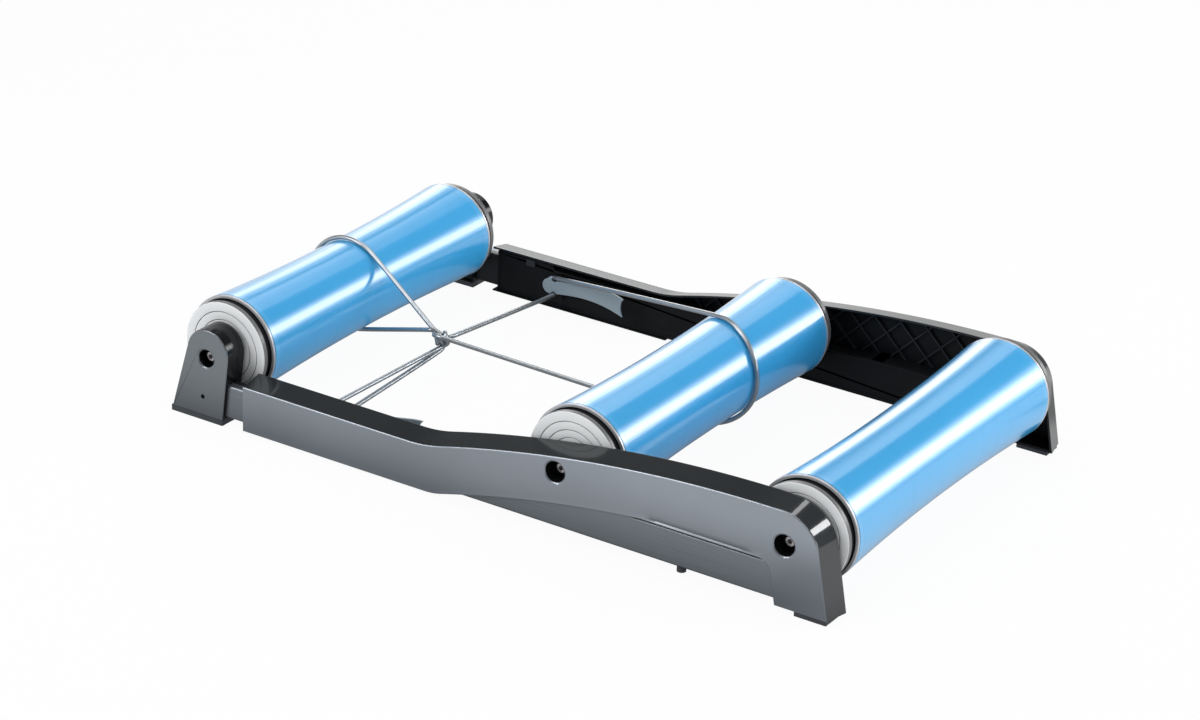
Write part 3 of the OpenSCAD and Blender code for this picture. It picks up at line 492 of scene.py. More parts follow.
# %% Lamps
def soft_lamp(name, place, target, size, radiance, height=None):
    """Rectangular lamp that faces a target. Radiance is how bright its surface looks, where 1 is white."""
    data = bpy.data.lights.new(name, "AREA")
    data.shape = "RECTANGLE"
    data.size = size
    data.size_y = height or size
    data.energy = radiance * math.pi * data.size * data.size_y
    lamp = bpy.data.objects.new(name, data)
    lamp.location = place
    facing = (Vector(target) - Vector(place)).normalized()
    lamp.rotation_euler = facing.to_track_quat("-Z", "Y").to_euler()
    lamp.visible_camera = False
    bpy.context.scene.collection.objects.link(lamp)
    return lamp


def direction(azimuth, elevation, distance):
    """A place seen from the object at an azimuth right of straight behind and at an elevation."""
    a, e = math.radians(azimuth), math.radians(elevation)
    flat = distance * math.cos(e)
    return Vector((flat * math.sin(a), flat * math.cos(a), distance * math.sin(e)))


soft_lamp("overhead", (0.1, -0.1, 2.6), (0, 0, 0), 1.8, 2.7)
soft_lamp("right_side", direction(88, 10, 3.0), (0, 0, 0.05), 1.6, 4.5, 0.9)
for width, tall, radiance, away in ((1.55, 0.55, 4.6, 3.2), (1.65, 1.0, 3.0, 3.3), (1.75, 1.45, 1.2, 3.4)):
    soft_lamp("streak", direction(43, 15.5, away), (0, 0, 0.07), width, radiance, tall)
for width, tall, away in ((1.4, 0.4, 3.2), (1.5, 0.7, 3.3), (1.6, 1.05, 3.4)):
    soft_lamp("high_streak", direction(-12, 38, away), (0, 0, 0.07), width, 0.42, tall)
for width, tall, radiance, away in ((1.0, 1.0, 2.2, 3.2), (1.3, 1.7, 0.9, 3.3)):
    soft_lamp("back_card", direction(-36, 18, away), (0, 0, 0.1), width, radiance, tall)
near_corner = Vector((RAIL_HIGH.x - 20 * MM, -OUTER_Y + 10 * MM, RAIL_HIGH.z - 25 * MM))
soft_lamp("corner_side", near_corner + direction(57, 32, 2.8), near_corner, 0.42, 12.0, 0.6)
soft_lamp("corner_top", near_corner + direction(-10, 58, 2.4), near_corner, 0.35, 4.0)
soft_lamp("front_left", direction(-142, 33, 3.0), (0, 0, 0), 1.5, 5.5)
soft_lamp("front_right", direction(143, 36, 3.0), (0, 0, 0), 0.6, 3.0)
print("studio ready")

# %% [markdown]
# ## Making closed meshes
# Most parts here are either turned, like a cap, or built in layers, like a plate with rounded rims. Both are
# rings of points joined by strips of faces. One helper joins the rings, and the ends are closed by one face
# or by joining the last ring to the first.

# %% Join rings of points into a closed piece
def shell(rings, loop=False):
    """Points and faces of a strip through rings of equal length. Loop joins the last ring to the first."""
    count = len(rings[0])
    points = [p for ring in rings for p in ring]
    faces = []
    for i in range(len(rings) if loop else len(rings) - 1):
        j = (i + 1) % len(rings)
        for k in range(count):
            n = (k + 1) % count
            faces.append((i * count + k, i * count + n, j * count + n, j * count + k))
    if not loop:
        last = (len(rings) - 1) * count
        faces.append(tuple(range(count))[::-1])
        faces.append(tuple(range(last, last + count)))
    return points, faces


SHARP_FROM = 32.0


def shade(mesh, sharp=SHARP_FROM):
    """Smooth shading, but for edges that turn by more than an angle."""
    mesh.shade_smooth()
    mesh.set_sharp_from_angle(angle=math.radians(sharp))


def build(name, parts, finish, second=None, is_second=None):
    """One object from several closed shells. Faces are turned outwards and smooth up to an angle.
    A second finish goes to the faces that is_second picks by their number."""
    made = bmesh.new()
    for points, faces in parts:
        own = [made.verts.new(p) for p in points]
        new = [made.faces.new([own[i] for i in face]) for face in faces]
        if is_second:
            for number, face in enumerate(new):
                face.material_index = int(is_second(number))
        bmesh.ops.recalc_face_normals(made, faces=new)
    mesh = bpy.data.meshes.new(name)
    made.to_mesh(mesh)
    made.free()
    shade(mesh)
    for one in (finish, second) if second else (finish,):
        mesh.materials.append(one)
    piece = bpy.data.objects.new(name, mesh)
    bpy.context.scene.collection.objects.link(piece)
    return piece


def settle(piece, body, slot, *nodes):
    """The piece moves with a body and stands for CAD nodes, which it hides. Its slot is not used."""
    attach(piece, body)
    if nodes:
        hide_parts(*nodes)
    print(piece.name, "has", len(piece.data.polygons), "faces")
    return piece


def apply_modifiers(piece):
    """Turns a piece with modifiers into a plain mesh."""
    bpy.context.view_layer.update()
    ready = piece.evaluated_get(bpy.context.evaluated_depsgraph_get())
    plain = bpy.data.meshes.new_from_object(ready)
    piece.modifiers.clear()
    piece.data = plain
    return piece


# %% [markdown]
# ## Sleeves by Geometry Nodes
# A roller is narrow in the middle and wide at its ends, so that the wheel stays centred. Its profile is one
# arc, and a shape that follows one formula is a good job for Geometry Nodes: a flat grid is bent round the
# axle, and its radius comes from the arc. The same tree makes all three sleeves from named inputs.

# %% Tree of the waisted sleeve
WAIST_R = 50.0 * MM
END_R = 55.6 * MM
SLEEVE_T = 0.8 * MM
SLEEVE_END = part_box("middle_sleeve")[1].y
ARC_R = (HALF_ROLLER ** 2 + (END_R - WAIST_R) ** 2) / (2 * (END_R - WAIST_R))


def roller_r(y):
    """Outer radius of a roller at a place along it."""
    return WAIST_R + ARC_R - math.sqrt(ARC_R ** 2 - y ** 2)


class Growth(Tree):
    """A Geometry Nodes tree under construction. Its inputs are named lengths, or whole numbers of steps."""

    def __init__(self, name, inputs):
        super().__init__(bpy.data.node_groups.new(name, "GeometryNodeTree"))
        self.keys = {}
        self.tree.interface.new_socket("Geometry", in_out="INPUT", socket_type="NodeSocketGeometry")
        for label, value in inputs.items():
            kind = "NodeSocketInt" if isinstance(value, int) else "NodeSocketFloat"
            socket = self.tree.interface.new_socket(label, in_out="INPUT", socket_type=kind)
            socket.default_value = value
            self.keys[label] = socket.identifier
        self.tree.interface.new_socket("Geometry", in_out="OUTPUT", socket_type="NodeSocketGeometry")
        self.start = self.node("NodeGroupInput")
        self.end = self.node("NodeGroupOutput")

    def given(self, label):
        """One of the tree's inputs."""
        return self.wire(self.start, label)

    def finish(self, geometry, material):
        """Realize Instances and Set Material close every tree."""
        real = self.node("GeometryNodeRealizeInstances", Geometry=geometry)
        coloured = self.node("GeometryNodeSetMaterial", Geometry=real, Material=material)
        self.fill(self.end.inputs[0], coloured)

    def grow(self, name, start_mesh=None, **values):
        """A new object with the tree's result as its plain mesh."""
        piece = bpy.data.objects.new(name, start_mesh or bpy.data.meshes.new(name))
        bpy.context.scene.collection.objects.link(piece)
        grown = piece.modifiers.new("grown", "NODES")
        grown.node_group = self.tree
        for label, value in values.items():
            grown[self.keys[label.replace("_", " ")]] = value
        return apply_modifiers(piece)


def sleeve_tree():
    grow = Growth("waisted_sleeve", {
        "Waist radius": WAIST_R, "Arc radius": ARC_R, "Half length": SLEEVE_END, "Axle X": 0.0, "Axle Z": 0.0,
        "Steps round": 192, "Steps along": 49,
    })
    grid = grow.node("GeometryNodeMeshGrid", i0=1.0, i1=1.0, i2=grow.given("Steps round") + 1.0,
                     i3=grow.given("Steps along"))
    across, lengthwise, _ = grow.split(grow.node("GeometryNodeInputPosition"))
    turn = across * (2 * math.pi)
    along = lengthwise * 2.0 * grow.given("Half length")
    arc = grow.given("Arc radius")
    radius = grow.given("Waist radius") + arc - (arc * arc - along * along).maths("SQRT")
    spot = grow.node("ShaderNodeCombineXYZ", X=radius * turn.maths("COSINE") + grow.given("Axle X"), Y=along,
                     Z=radius * turn.maths("SINE") + grow.given("Axle Z"))
    bent = grow.node("GeometryNodeSetPosition", Geometry=grid, Position=spot)
    closed = grow.node("GeometryNodeMergeByDistance", Geometry=bent, Distance=0.01 * MM)
    grow.finish(closed, SLEEVE_BLUE)
    return grow


SLEEVE_TREE = sleeve_tree()

# %% Grow the three sleeves
ROLLER_BODY = {"front": "front_roller", "middle": "middle_roller", "rear": "rear_roller"}


def outward(mesh):
    """Turns a closed mesh's faces outwards."""
    made = bmesh.new()
    made.from_mesh(mesh)
    bmesh.ops.remove_doubles(made, verts=made.verts, dist=1e-6)
    bmesh.ops.recalc_face_normals(made, faces=made.faces)
    made.to_mesh(mesh)
    made.free()


for name, axle in AXLES.items():
    sleeve = SLEEVE_TREE.grow(name + "_blue_sleeve", Axle_X=axle.x, Axle_Z=axle.z)
    face = sleeve.data.polygons[len(sleeve.data.polygons) // 2]
    from_axle = face.center - Vector((axle.x, face.center.y, axle.z))
    wall = sleeve.modifiers.new("wall", "SOLIDIFY")
    wall.thickness = SLEEVE_T
    wall.offset = -1.0 if from_axle.dot(face.normal) > 0 else 1.0
    apply_modifiers(sleeve)
    outward(sleeve.data)
    shade(sleeve.data, 40)
    settle(sleeve, ROLLER_BODY[name], "sleeve_blue", name + "_sleeve")

# %% [markdown]
# ## Turned parts
# Tubes and caps are turned about the roller's axle. A profile of radius and place along Y is drawn once,
# with small curves at its edges, because a real edge is never sharp and catches a line of light.

# %% Turn a profile about an axle
SOFT_STEPS = 5


def turned(x, z, profile, steps=160, side=1):
    """Closed ring about an axle at (x, z), from a closed profile of (radius, y). Side -1 mirrors it."""
    rings = []
    for i in range(steps):
        a = 2 * math.pi * i / steps
        rings.append([(x + r * math.cos(a), side * y, z + r * math.sin(a)) for r, y in profile])
    return shell(rings, loop=True)


def rounded(corners, steps=4):
    """Closed outline whose corners (across, up, radius) are replaced by small curves."""
    out = []
    n = len(corners)
    for i, (r, y, size) in enumerate(corners):
        here = Vector((r, y))
        if size <= 0:
            out.append((r, y))
            continue
        before = Vector(corners[i - 1][:2])
        after = Vector(corners[(i + 1) % n][:2])
        start = here + (before - here).normalized() * size
        stop = here + (after - here).normalized() * size
        for k in range(steps + 1):
            t = k / steps
            p = start * (1 - t) ** 2 + here * 2 * t * (1 - t) + stop * t ** 2
            out.append((p.x, p.y))
    return out


# %% Tubes with a rolled lip at each end
TUBE_OUT = SLEEVE_T + 0.05 * MM
TUBE_IN = 3.8 * MM
TUBE_SPANS = 12
PLUG_SEAT = 24 * MM


def tube_profile():
    lip = roller_r(HALF_ROLLER)
    steps = [HALF_ROLLER * k / TUBE_SPANS for k in range(1 - TUBE_SPANS, TUBE_SPANS)]
    outside = [(roller_r(y) - TUBE_OUT, y, 0) for y in steps]
    near_end = SLEEVE_END + 0.25 * MM
    end = [
        (roller_r(near_end) - TUBE_OUT, near_end, 0),
        (lip - 0.25 * MM, HALF_ROLLER - 2.6 * MM, 0.5 * MM),
        (lip - 0.1 * MM, HALF_ROLLER, 0.9 * MM),
        (lip - TUBE_IN, HALF_ROLLER, 0.6 * MM),
        (lip - TUBE_IN, HALF_ROLLER - PLUG_SEAT, 0),
    ]
    start = [(r, -y, size) for r, y, size in reversed(end)]
    inside = [(roller_r(y) - TUBE_IN - 0.2 * MM, y, 0) for y in reversed(steps[3:-3])]
    return rounded(start + outside[1:-1] + end + inside)


TUBE_PROFILE = tube_profile()
for name, axle in AXLES.items():
    tube = build(name + "_turned_tube", [turned(axle.x, axle.z, TUBE_PROFILE)], TUBE_GREY)
    settle(tube, ROLLER_BODY[name], "tube_grey", name + "_tube")

# %% Caps with fine grooves
CAP_R = 52.0 * MM
CAP_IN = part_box("middle_cap_right")[0].y
CAP_HOLE = 8.9 * MM
GROOVES = (41.5 * MM, 32.5 * MM, 24.3 * MM)
GROOVE_HALF, GROOVE_DEPTH, GROOVE_EDGE = 0.5 * MM, 0.9 * MM, 0.1 * MM


def cap_profile():
    face = [(CAP_HOLE, CAP_IN, 0), (CAP_R, CAP_IN, 0.7 * MM), (CAP_R, CAP_OUT, 1.1 * MM)]
    rim, bed, bed_y = GROOVE_HALF, GROOVE_HALF * 0.6, CAP_OUT - GROOVE_DEPTH
    for groove in GROOVES:
        face += [(r, y, GROOVE_EDGE) for r, y in ((groove + rim, CAP_OUT), (groove + bed, bed_y),
                                                  (groove - bed, bed_y), (groove - rim, CAP_OUT))]
    face.append((CAP_HOLE, CAP_OUT, 0.3 * MM))
    return rounded(face)


CAP_PROFILE = cap_profile()
for name, axle in AXLES.items():
    for label, side in SIDES.items():
        ring = turned(axle.x, axle.z, CAP_PROFILE, side=side)
        cap = build(name + "_turned_cap_" + label, [ring], CAP_GREY)
        settle(cap, ROLLER_BODY[name], "cap_grey", name + "_cap_" + label)

# %% [markdown]
# ## Outlines of the frame
# The rail is a side view given a depth. Its top edge is a straight run, a bend, a long arch and a tight rear
# corner that runs into a leaning leg. The same arcs, drawn in by an inset, give the inner lines, so every
# wall keeps its thickness. The lower edge is matched to the top edge, point for point.

# %% Lines of the rail, from its front end to the foot of the leg
WALL = 2.8 * MM
FLARE = 6.0 * MM
RAIL_X = RAIL_LOW.x
DEPTH = OUTER_Y - INNER_Y
TOP_Z, BASE_Z, ARCH_Z, FLAT_Z, LEG_Z = (v * MM for v in (53.5, 3.0, 107.0, 50.0, 5.5))
ARCH_R, BEND_R, UNDER_R, UNDER_BEND_R, CORNER_R, FILLET_R = (v * MM for v in (1500, 150, 1400, 80, 42, 15))
UNDER_Z = 57.0 * MM - UNDER_R
LEAN = math.radians(11)
ARCH_X = AXLES["rear"].x - 20.5 * MM
LEG_REAR = AXLES["rear"].x + 51.5 * MM
LEG_FRONT = LEG_REAR - 57.6 * MM


def arc(cx, cz, r, a0, a1, steps):
    """Points of an arc in the side view, without its last point."""
    turn = [a0 + (a1 - a0) * i / steps for i in range(steps)]
    return [(cx + r * math.cos(a), cz + r * math.sin(a)) for a in turn]


def run(start, stop, steps):
    """Points of a straight line, without its last point."""
    return [(start[0] + (stop[0] - start[0]) * i / steps, start[1] + (stop[1] - start[1]) * i / steps)
            for i in range(steps)]


def leaning(x, z):
    """X of a leaning edge of the leg at a height."""
    return x - math.tan(LEAN) * z


def bend_between(z_line, bend_r, far_x, far_z, far_r):
    """Centre and angle of a bend that joins a level line to a big arc below it."""
    cz = z_line + bend_r
    cx = far_x - math.sqrt((far_r + bend_r) ** 2 - (cz - far_z) ** 2)
    return cx, cz, math.atan2(cz - far_z, cx - far_x)


BEND = bend_between(TOP_Z, BEND_R, ARCH_X, ARCH_Z - ARCH_R, ARCH_R)
UNDER_BEND = bend_between(BASE_Z, UNDER_BEND_R, ARCH_X, UNDER_Z, UNDER_R)
CORNER = (LEG_REAR - (CORNER_R + math.sin(LEAN) * (ARCH_Z - CORNER_R)) / math.cos(LEAN), ARCH_Z - CORNER_R)
FILLET = (LEG_FRONT - (FILLET_R + math.sin(LEAN) * (FLAT_Z - FILLET_R)) / math.cos(LEAN), FLAT_Z - FILLET_R)
FLAT_A = math.pi - math.asin((FLAT_Z - UNDER_Z) / UNDER_R)
RUN_STEPS, BEND_STEPS, ARCH_STEPS, CORNER_STEPS, LEG_STEPS = 6, 14, 60, 24, 8
UNDER_STEPS = 39
FLAT_X = ARCH_X + UNDER_R * math.cos(FLAT_A)


def top_line(inset):
    """Flanged edge of the rail, drawn in by an inset."""
    cx, cz, a = BEND
    foot = (leaning(LEG_REAR, LEG_Z) - inset / math.cos(LEAN), LEG_Z)
    corner = arc(*CORNER, CORNER_R - inset, math.pi / 2, LEAN, CORNER_STEPS)
    last = (CORNER[0] + (CORNER_R - inset) * math.cos(LEAN), CORNER[1] + (CORNER_R - inset) * math.sin(LEAN))
    return (run((RAIL_X, TOP_Z - inset), (cx, TOP_Z - inset), RUN_STEPS)
            + arc(cx, cz, BEND_R + inset, -math.pi / 2, a - math.pi, BEND_STEPS)
            + arc(ARCH_X, ARCH_Z - ARCH_R, ARCH_R - inset, a, math.pi / 2, ARCH_STEPS)
            + corner + run(last, foot, LEG_STEPS) + [foot])


def lower_line(inset):
    """Lower edge of the rail, drawn in by an inset and matched to the top line."""
    cx, cz, a = UNDER_BEND
    level = FLAT_Z + inset
    foot = (leaning(LEG_FRONT, LEG_Z) + inset / math.cos(LEAN), LEG_Z)
    bent = FILLET_R + inset
    last = (FILLET[0] + bent * math.cos(LEAN), FILLET[1] + bent * math.sin(LEAN))
    return (run((RAIL_X, BASE_Z + inset), (cx, BASE_Z + inset), RUN_STEPS)
            + arc(cx, cz, UNDER_BEND_R - inset, -math.pi / 2, a - math.pi, BEND_STEPS)
            + arc(ARCH_X, UNDER_Z, UNDER_R + inset, a, FLAT_A, UNDER_STEPS)
            + run((FLAT_X, level), (FILLET[0], level), ARCH_STEPS - UNDER_STEPS)
            + arc(*FILLET, bent, math.pi / 2, LEAN, CORNER_STEPS)
            + run(last, foot, LEG_STEPS) + [foot])


print("rail line has", len(top_line(0)), "points, and its lower line", len(lower_line(0)))

# %% [markdown]
# ## Side rails
# The rail could be cut from a block, but a moulding is one wall that turns a corner. So its section is drawn
# once: up the outer face, round the edge, across the flange that leans outwards, and back along the inside.
# The section is then swept along both lines. The holes over the axle bolts are cut last, and an eyelet with a
# shallow cone round its hole is set into each.

# %% Section of the rail, as insets from its edges and places across the frame
LIP = 1.5 * MM
BEAD_DEPTH, BEAD_FAINT = 1.0 * MM, 0.12
UNDER_END = RUN_STEPS + BEND_STEPS + UNDER_STEPS
BEAD_FROM, BEAD_RISE = UNDER_END - 2, 4
BEAD_TO, BEAD_FALL = RUN_STEPS + BEND_STEPS + ARCH_STEPS + 4, 6


def rail_section(bead=0.0):
    """Points as (line, inset, y), where the line is 0 for the top edge and 1 for the lower edge. The bead
    is how deep a shallow hollow runs above the lower edge, which leaves a rim that catches the light."""
    def lean(y):
        return -FLARE * (OUTER_Y - y) / DEPTH

    section = [(1, 0.0, OUTER_Y - WALL)]
    for k in range(5):
        t = math.pi / 2 * k / 4
        section.append((1, MM - MM * math.cos(t), OUTER_Y - MM + MM * math.sin(t)))
    section += [(1, 1.2 * MM, OUTER_Y), (1, 3.0 * MM, OUTER_Y - bead), (1, 7 * MM, OUTER_Y - 0.7 * bead),
                (1, 17 * MM, OUTER_Y)]
    for k in range(6):
        t = math.pi / 2 * k / 5
        y = OUTER_Y - LIP + LIP * math.cos(t)
        section.append((0, LIP - LIP * math.sin(t) + lean(y), y))
    for share in (0.3, 0.6, 0.9):
        y = OUTER_Y - LIP - share * (DEPTH - LIP)
        section.append((0, lean(y), y))
    rim = 0.6 * MM
    section += [(0, lean(INNER_Y + rim), INNER_Y + rim), (0, rim * 0.3 - FLARE, INNER_Y + rim * 0.3),
                (0, rim - FLARE, INNER_Y), (0, WALL - rim - FLARE, INNER_Y), (0, WALL - FLARE, INNER_Y + rim)]
    for share in (0.4, 0.75):
        y = INNER_Y + share * (DEPTH - WALL)
        section.append((0, WALL + lean(y), y))
    section += [(0, WALL + 0.3 * MM, OUTER_Y - WALL - 1.4 * MM), (0, WALL + 1.6 * MM, OUTER_Y - WALL)]
    return section


SECTION = rail_section()
INNER_START = next(k for k, (which, inset, y) in enumerate(SECTION) if which == 0 and y == INNER_Y)


def on_the_inside(number):
    """True for the faces of the sweep that lie on the inside of the section."""
    return number % len(SECTION) > INNER_START or number % len(SECTION) == 0


def rail_sweep(side):
    """The hollow is faint under the arch, deep along the flat run behind it and gone behind the fillet."""
    lines = [(top_line if which == 0 else lower_line)(inset) for which, inset, y in SECTION]
    rings = []
    for i in range(len(lines[0])):
        rise = min(1, max(BEAD_FAINT, (i - BEAD_FROM) / BEAD_RISE))
        fall = min(1, max(0, (BEAD_TO - i) / BEAD_FALL))
        section = rail_section(BEAD_DEPTH * rise * fall)
        rings.append([(line[i][0], side * y, line[i][1]) for line, (_, _, y) in zip(lines, section)])
    return shell(rings)


# %% Straight pieces inside the rail
def prism(outline, y0, y1, side):
    """Side view given a depth across the frame."""
    return shell([[(x, side * y, z) for x, z in outline] for y in (y0, y1)])


def block(low, high, side):
    """Plain block between two corners, for cuts and for flanges that are flat or hidden."""
    (x0, y0, z0), (x1, y1, z1) = low, high
    return prism([(x0, z0), (x1, z0), (x1, z1), (x0, z1)], y0, y1, side)


GUIDE_LOW, GUIDE_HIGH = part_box("slide_guide_right")
BAR_LOW, BAR_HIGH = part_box("slide_bar_right")
LIP_FROM, LIP_TO = RUN_STEPS + 8, UNDER_END + 3


def under_lip(y0, y1, side):
    """Narrow flange that follows the arch's lower edge."""
    edge, inner = lower_line(0.4 * MM), lower_line(WALL)
    corners = ((edge, y0), (edge, y1), (inner, y1), (inner, y0))
    return shell([[(line[i][0], side * y, line[i][1]) for line, y in corners]
                  for i in range(LIP_FROM, LIP_TO)])


def rail_insides(side):
    """Floors of the rail's front, flat run and leg, the arch's lip and two pads beside the bar."""
    y1 = OUTER_Y - 1 * MM
    start = RAIL_X + 0.2 * MM
    base = block((start, INNER_Y, BASE_Z + 2.4 * MM), (UNDER_BEND[0], y1, GUIDE_LOW.z), side)
    under = block((FLAT_X, INNER_Y, FLAT_Z), (FILLET[0], y1, FLAT_Z + WALL), side)
    front, rear = leaning(LEG_FRONT, LEG_Z), leaning(LEG_REAR, LEG_Z) - 0.5 * WALL
    floor_ring = [(front, y1), (front, INNER_Y), (rear + FLARE, INNER_Y), (rear, y1)]
    leg_floor = shell([[(x, side * y, z) for x, y in floor_ring] for z in (LEG_Z, LEG_Z + WALL)])
    pad_in, pad_out = BAR_HIGH.y + 0.3 * MM, OUTER_Y - 1.5 * MM
    pads = [block((start, pad_in, z), (UNDER_BEND[0], pad_out, z + 4 * MM), side)
            for z in (BAR_LOW.z + 6 * MM, BAR_HIGH.z - 10 * MM)]
    return [base, under, leg_floor, under_lip(INNER_Y + 1 * MM, OUTER_Y - 1.6 * MM, side), *pads]


# %% Eyelets over the axle bolts
SEAT_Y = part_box("middle_spacers")[1].y
HOLE_LIP = 1.6 * MM
BOLT_R = 3.05 * MM
EYELET_STEPS = 96
EYELET_RIM = 1.6 * MM
EYELET_WALL, EYELET_WEB = 3.2 * MM, 4 * MM
CONE_FACES = (3, 4, 5, 6)


def eyelet(axle, hole, deep_y, side):
    """Tube from the axle seat to the outer face, with a lip like a shallow cone round its hole. Its profile's
    faces 3 to 6 are the cone and the step round it."""
    lip = hole + HOLE_LIP
    outer, rim_y, web_y = hole + EYELET_WALL, OUTER_Y - EYELET_RIM, deep_y + EYELET_WEB
    profile = rounded([
        (BOLT_R, deep_y, 0), (outer, deep_y, 0), (outer, rim_y, 0), (lip + 0.05 * MM, rim_y, 0),
        (lip + 0.05 * MM, OUTER_Y, 0), (lip, OUTER_Y, 0), (hole, OUTER_Y - 1.0 * MM, 0.3 * MM),
        (hole, web_y, 0.6 * MM), (BOLT_R, web_y, 0.3 * MM),
    ], SOFT_STEPS)
    return turned(axle.x, axle.z, profile, EYELET_STEPS, side)


def drill(piece, cutters):
    """Cuts closed shells out of a piece."""
    for number, (points, faces) in enumerate(cutters):
        tool = build("cutter", [(points, faces)], RAIL_GREY)
        cut = piece.modifiers.new("cut%d" % number, "BOOLEAN")
        cut.operation = "DIFFERENCE"
        cut.solver = "MANIFOLD"
        cut.object = tool
        apply_modifiers(piece)
        bpy.data.objects.remove(tool)
    return piece


def plug_shape(x, z, radius, y0, y1, side, steps=96):
    """Round cutter along Y."""
    return prism(arc(x, z, radius, 0, 2 * math.pi, steps), y0, y1, side)


def even_shading(piece, sharp=SHARP_FROM):
    """Marks sharp edges again after a cut and lets the big flat faces rule the shading."""
    shade(piece.data, sharp)
    weigh = piece.modifiers.new("weigh", "WEIGHTED_NORMAL")
    weigh.keep_sharp = True
    weigh.weight = 100
    return apply_modifiers(piece)


# %% Make the two rails
RAIL_HOLE = 11.2 * MM
RAIL_AXLES = (AXLES["middle"], AXLES["rear"])


def join(first, *others):
    """Adds other pieces' meshes to the first piece."""
    made = bmesh.new()
    made.from_mesh(first.data)
    for other in others:
        made.from_mesh(other.data)
        bpy.data.objects.remove(other)
    made.to_mesh(first.data)
    made.free()
    return first


for label, side in SIDES.items():
    rail = build("moulded_rail_" + label, [rail_sweep(side)], RAIL_GREY, second=RAIL_INSIDE,
                 is_second=on_the_inside)
    holes = [plug_shape(axle.x, axle.z, RAIL_HOLE + HOLE_LIP, OUTER_Y - 4 * MM, OUTER_Y + 2 * MM, side)
             for axle in RAIL_AXLES]
    even_shading(drill(rail, holes))
    fittings = [eyelet(axle, RAIL_HOLE, SEAT_Y, side) for axle in RAIL_AXLES]
    round_faces = len(fittings[0][0]) // EYELET_STEPS
    eyelets = build("rail_eyelets", fittings, RAIL_GREY, second=RAIL_INSIDE,
                    is_second=lambda number: number % round_faces not in CONE_FACES)
    inside = build("rail_fittings", rail_insides(side), RAIL_GREY, second=RAIL_INSIDE,
                   is_second=lambda number: True)
    join(rail, eyelets, inside)
    settle(rail, "rear_frame", "rail_grey", "rail_" + label)

# %% [markdown]
# ## Ribs inside the arch
# Diagonal ribs stiffen the thin wall. They repeat along two slopes and stop at the outline, so they are a
# job for Geometry Nodes: the script works out where each rib starts and stops, gives each a point with its
# length and turn, and the tree puts one slim bar on every point.

# %% Where each rib starts and stops
RIB_PITCH, RIB_T, RIB_H = 32.5 * MM, 1.3 * MM, 4.0 * MM
RIB_CROSS = (AXLES["middle"].x + 71.5 * MM, 78.0 * MM)
RIB_FLOOR = 48.6 * MM
RIB_TOP, RIB_LOW = top_line(WALL), lower_line(0.5 * MM)
ROOM_ROUND_EYELET = 3 * MM


def inside_arch(x, z):
    """True where a rib may be: under the flange, above the guide and off the eyelets."""
    if x < BEND[0] or z < RIB_FLOOR:
        return False
    if any(math.hypot(x - axle.x, z - axle.z) < RAIL_HOLE + ROOM_ROUND_EYELET for axle in RAIL_AXLES):
        return False
    hit = False
    loop = RIB_TOP + RIB_LOW[::-1]
    for (x0, z0), (x1, z1) in zip(loop, loop[1:] + loop[:1]):
        if (z0 > z) != (z1 > z) and x < x0 + (x1 - x0) * (z - z0) / (z1 - z0):
            hit = not hit
    return hit


RIB_STEP, RIB_REACH = 0.5 * MM, 190
RIBS_EACH_WAY = 10
SHORTEST_RIB, RIB_OVERLAP = 4 * MM, 1 * MM


def rib_spans():
    """(middle x, middle z, length, turn) of every rib. Each slope is walked in small steps, and a rib is a
    stretch of it that stays inside the arch."""
    spans = []
    for number in range(-RIBS_EACH_WAY, RIBS_EACH_WAY + 1):
        for turn in (-1, 1):
            stretch = []
            for k in range(-RIB_REACH, RIB_REACH + 1):
                x = RIB_CROSS[0] + number * RIB_PITCH + k * RIB_STEP * math.sqrt(0.5)
                z = RIB_CROSS[1] + turn * k * RIB_STEP * math.sqrt(0.5)
                inside = inside_arch(x, z)
                if inside:
                    stretch.append((x, z))
                if stretch and (not inside or k == RIB_REACH):
                    (x0, z0), (x1, z1) = stretch[0], stretch[-1]
                    length = math.hypot(x1 - x0, z1 - z0)
                    if length > SHORTEST_RIB:
                        middle = ((x0 + x1) / 2, (z0 + z1) / 2)
                        spans.append((*middle, length + RIB_OVERLAP, -turn * math.pi / 4))
                    stretch = []
    return spans


RIBS = rib_spans()
print("ribs on each side:", len(RIBS))


# %% Tree that puts a bar on every point
def rib_tree():
    grow = Growth("diagonal_ribs", {"Rib thickness": RIB_T, "Rib height": RIB_H})
    size = grow.node("ShaderNodeCombineXYZ", X=1.0, Y=grow.given("Rib height"), Z=grow.given("Rib thickness"))
    bar = grow.node("GeometryNodeMeshCube", Size=size)
    length = grow.node("GeometryNodeInputNamedAttribute", {"data_type": "FLOAT"}, Name="rib_length")
    turn = grow.node("GeometryNodeInputNamedAttribute", {"data_type": "FLOAT"}, Name="rib_turn")
    spin = grow.node("ShaderNodeCombineXYZ", Y=turn)
    stretch = grow.node("ShaderNodeCombineXYZ", X=length, Y=1.0, Z=1.0)
    dots = grow.node("GeometryNodeMeshToPoints", Mesh=grow.given("Geometry"))
    placed = grow.node("GeometryNodeInstanceOnPoints", Points=dots, Instance=bar, Rotation=spin,
                       Scale=stretch)
    grow.finish(placed, RIB_BLACK)
    return grow


RIB_TREE = rib_tree()

# %% Grow the ribs of both rails
for label, side in SIDES.items():
    dots = bpy.data.meshes.new("rib_places_" + label)
    rib_y = side * (OUTER_Y - WALL - RIB_H / 2 + 0.3 * MM)
    dots.from_pydata([(x, rib_y, z) for x, z, _, _ in RIBS], [], [])
    for key, column in (("rib_length", 2), ("rib_turn", 3)):
        dots.attributes.new(key, "FLOAT", "POINT").data.foreach_set("value", [rib[column] for rib in RIBS])
    ribs = RIB_TREE.grow("stiffening_ribs_" + label, dots)
    settle(ribs, "rear_frame", "rail_grey")

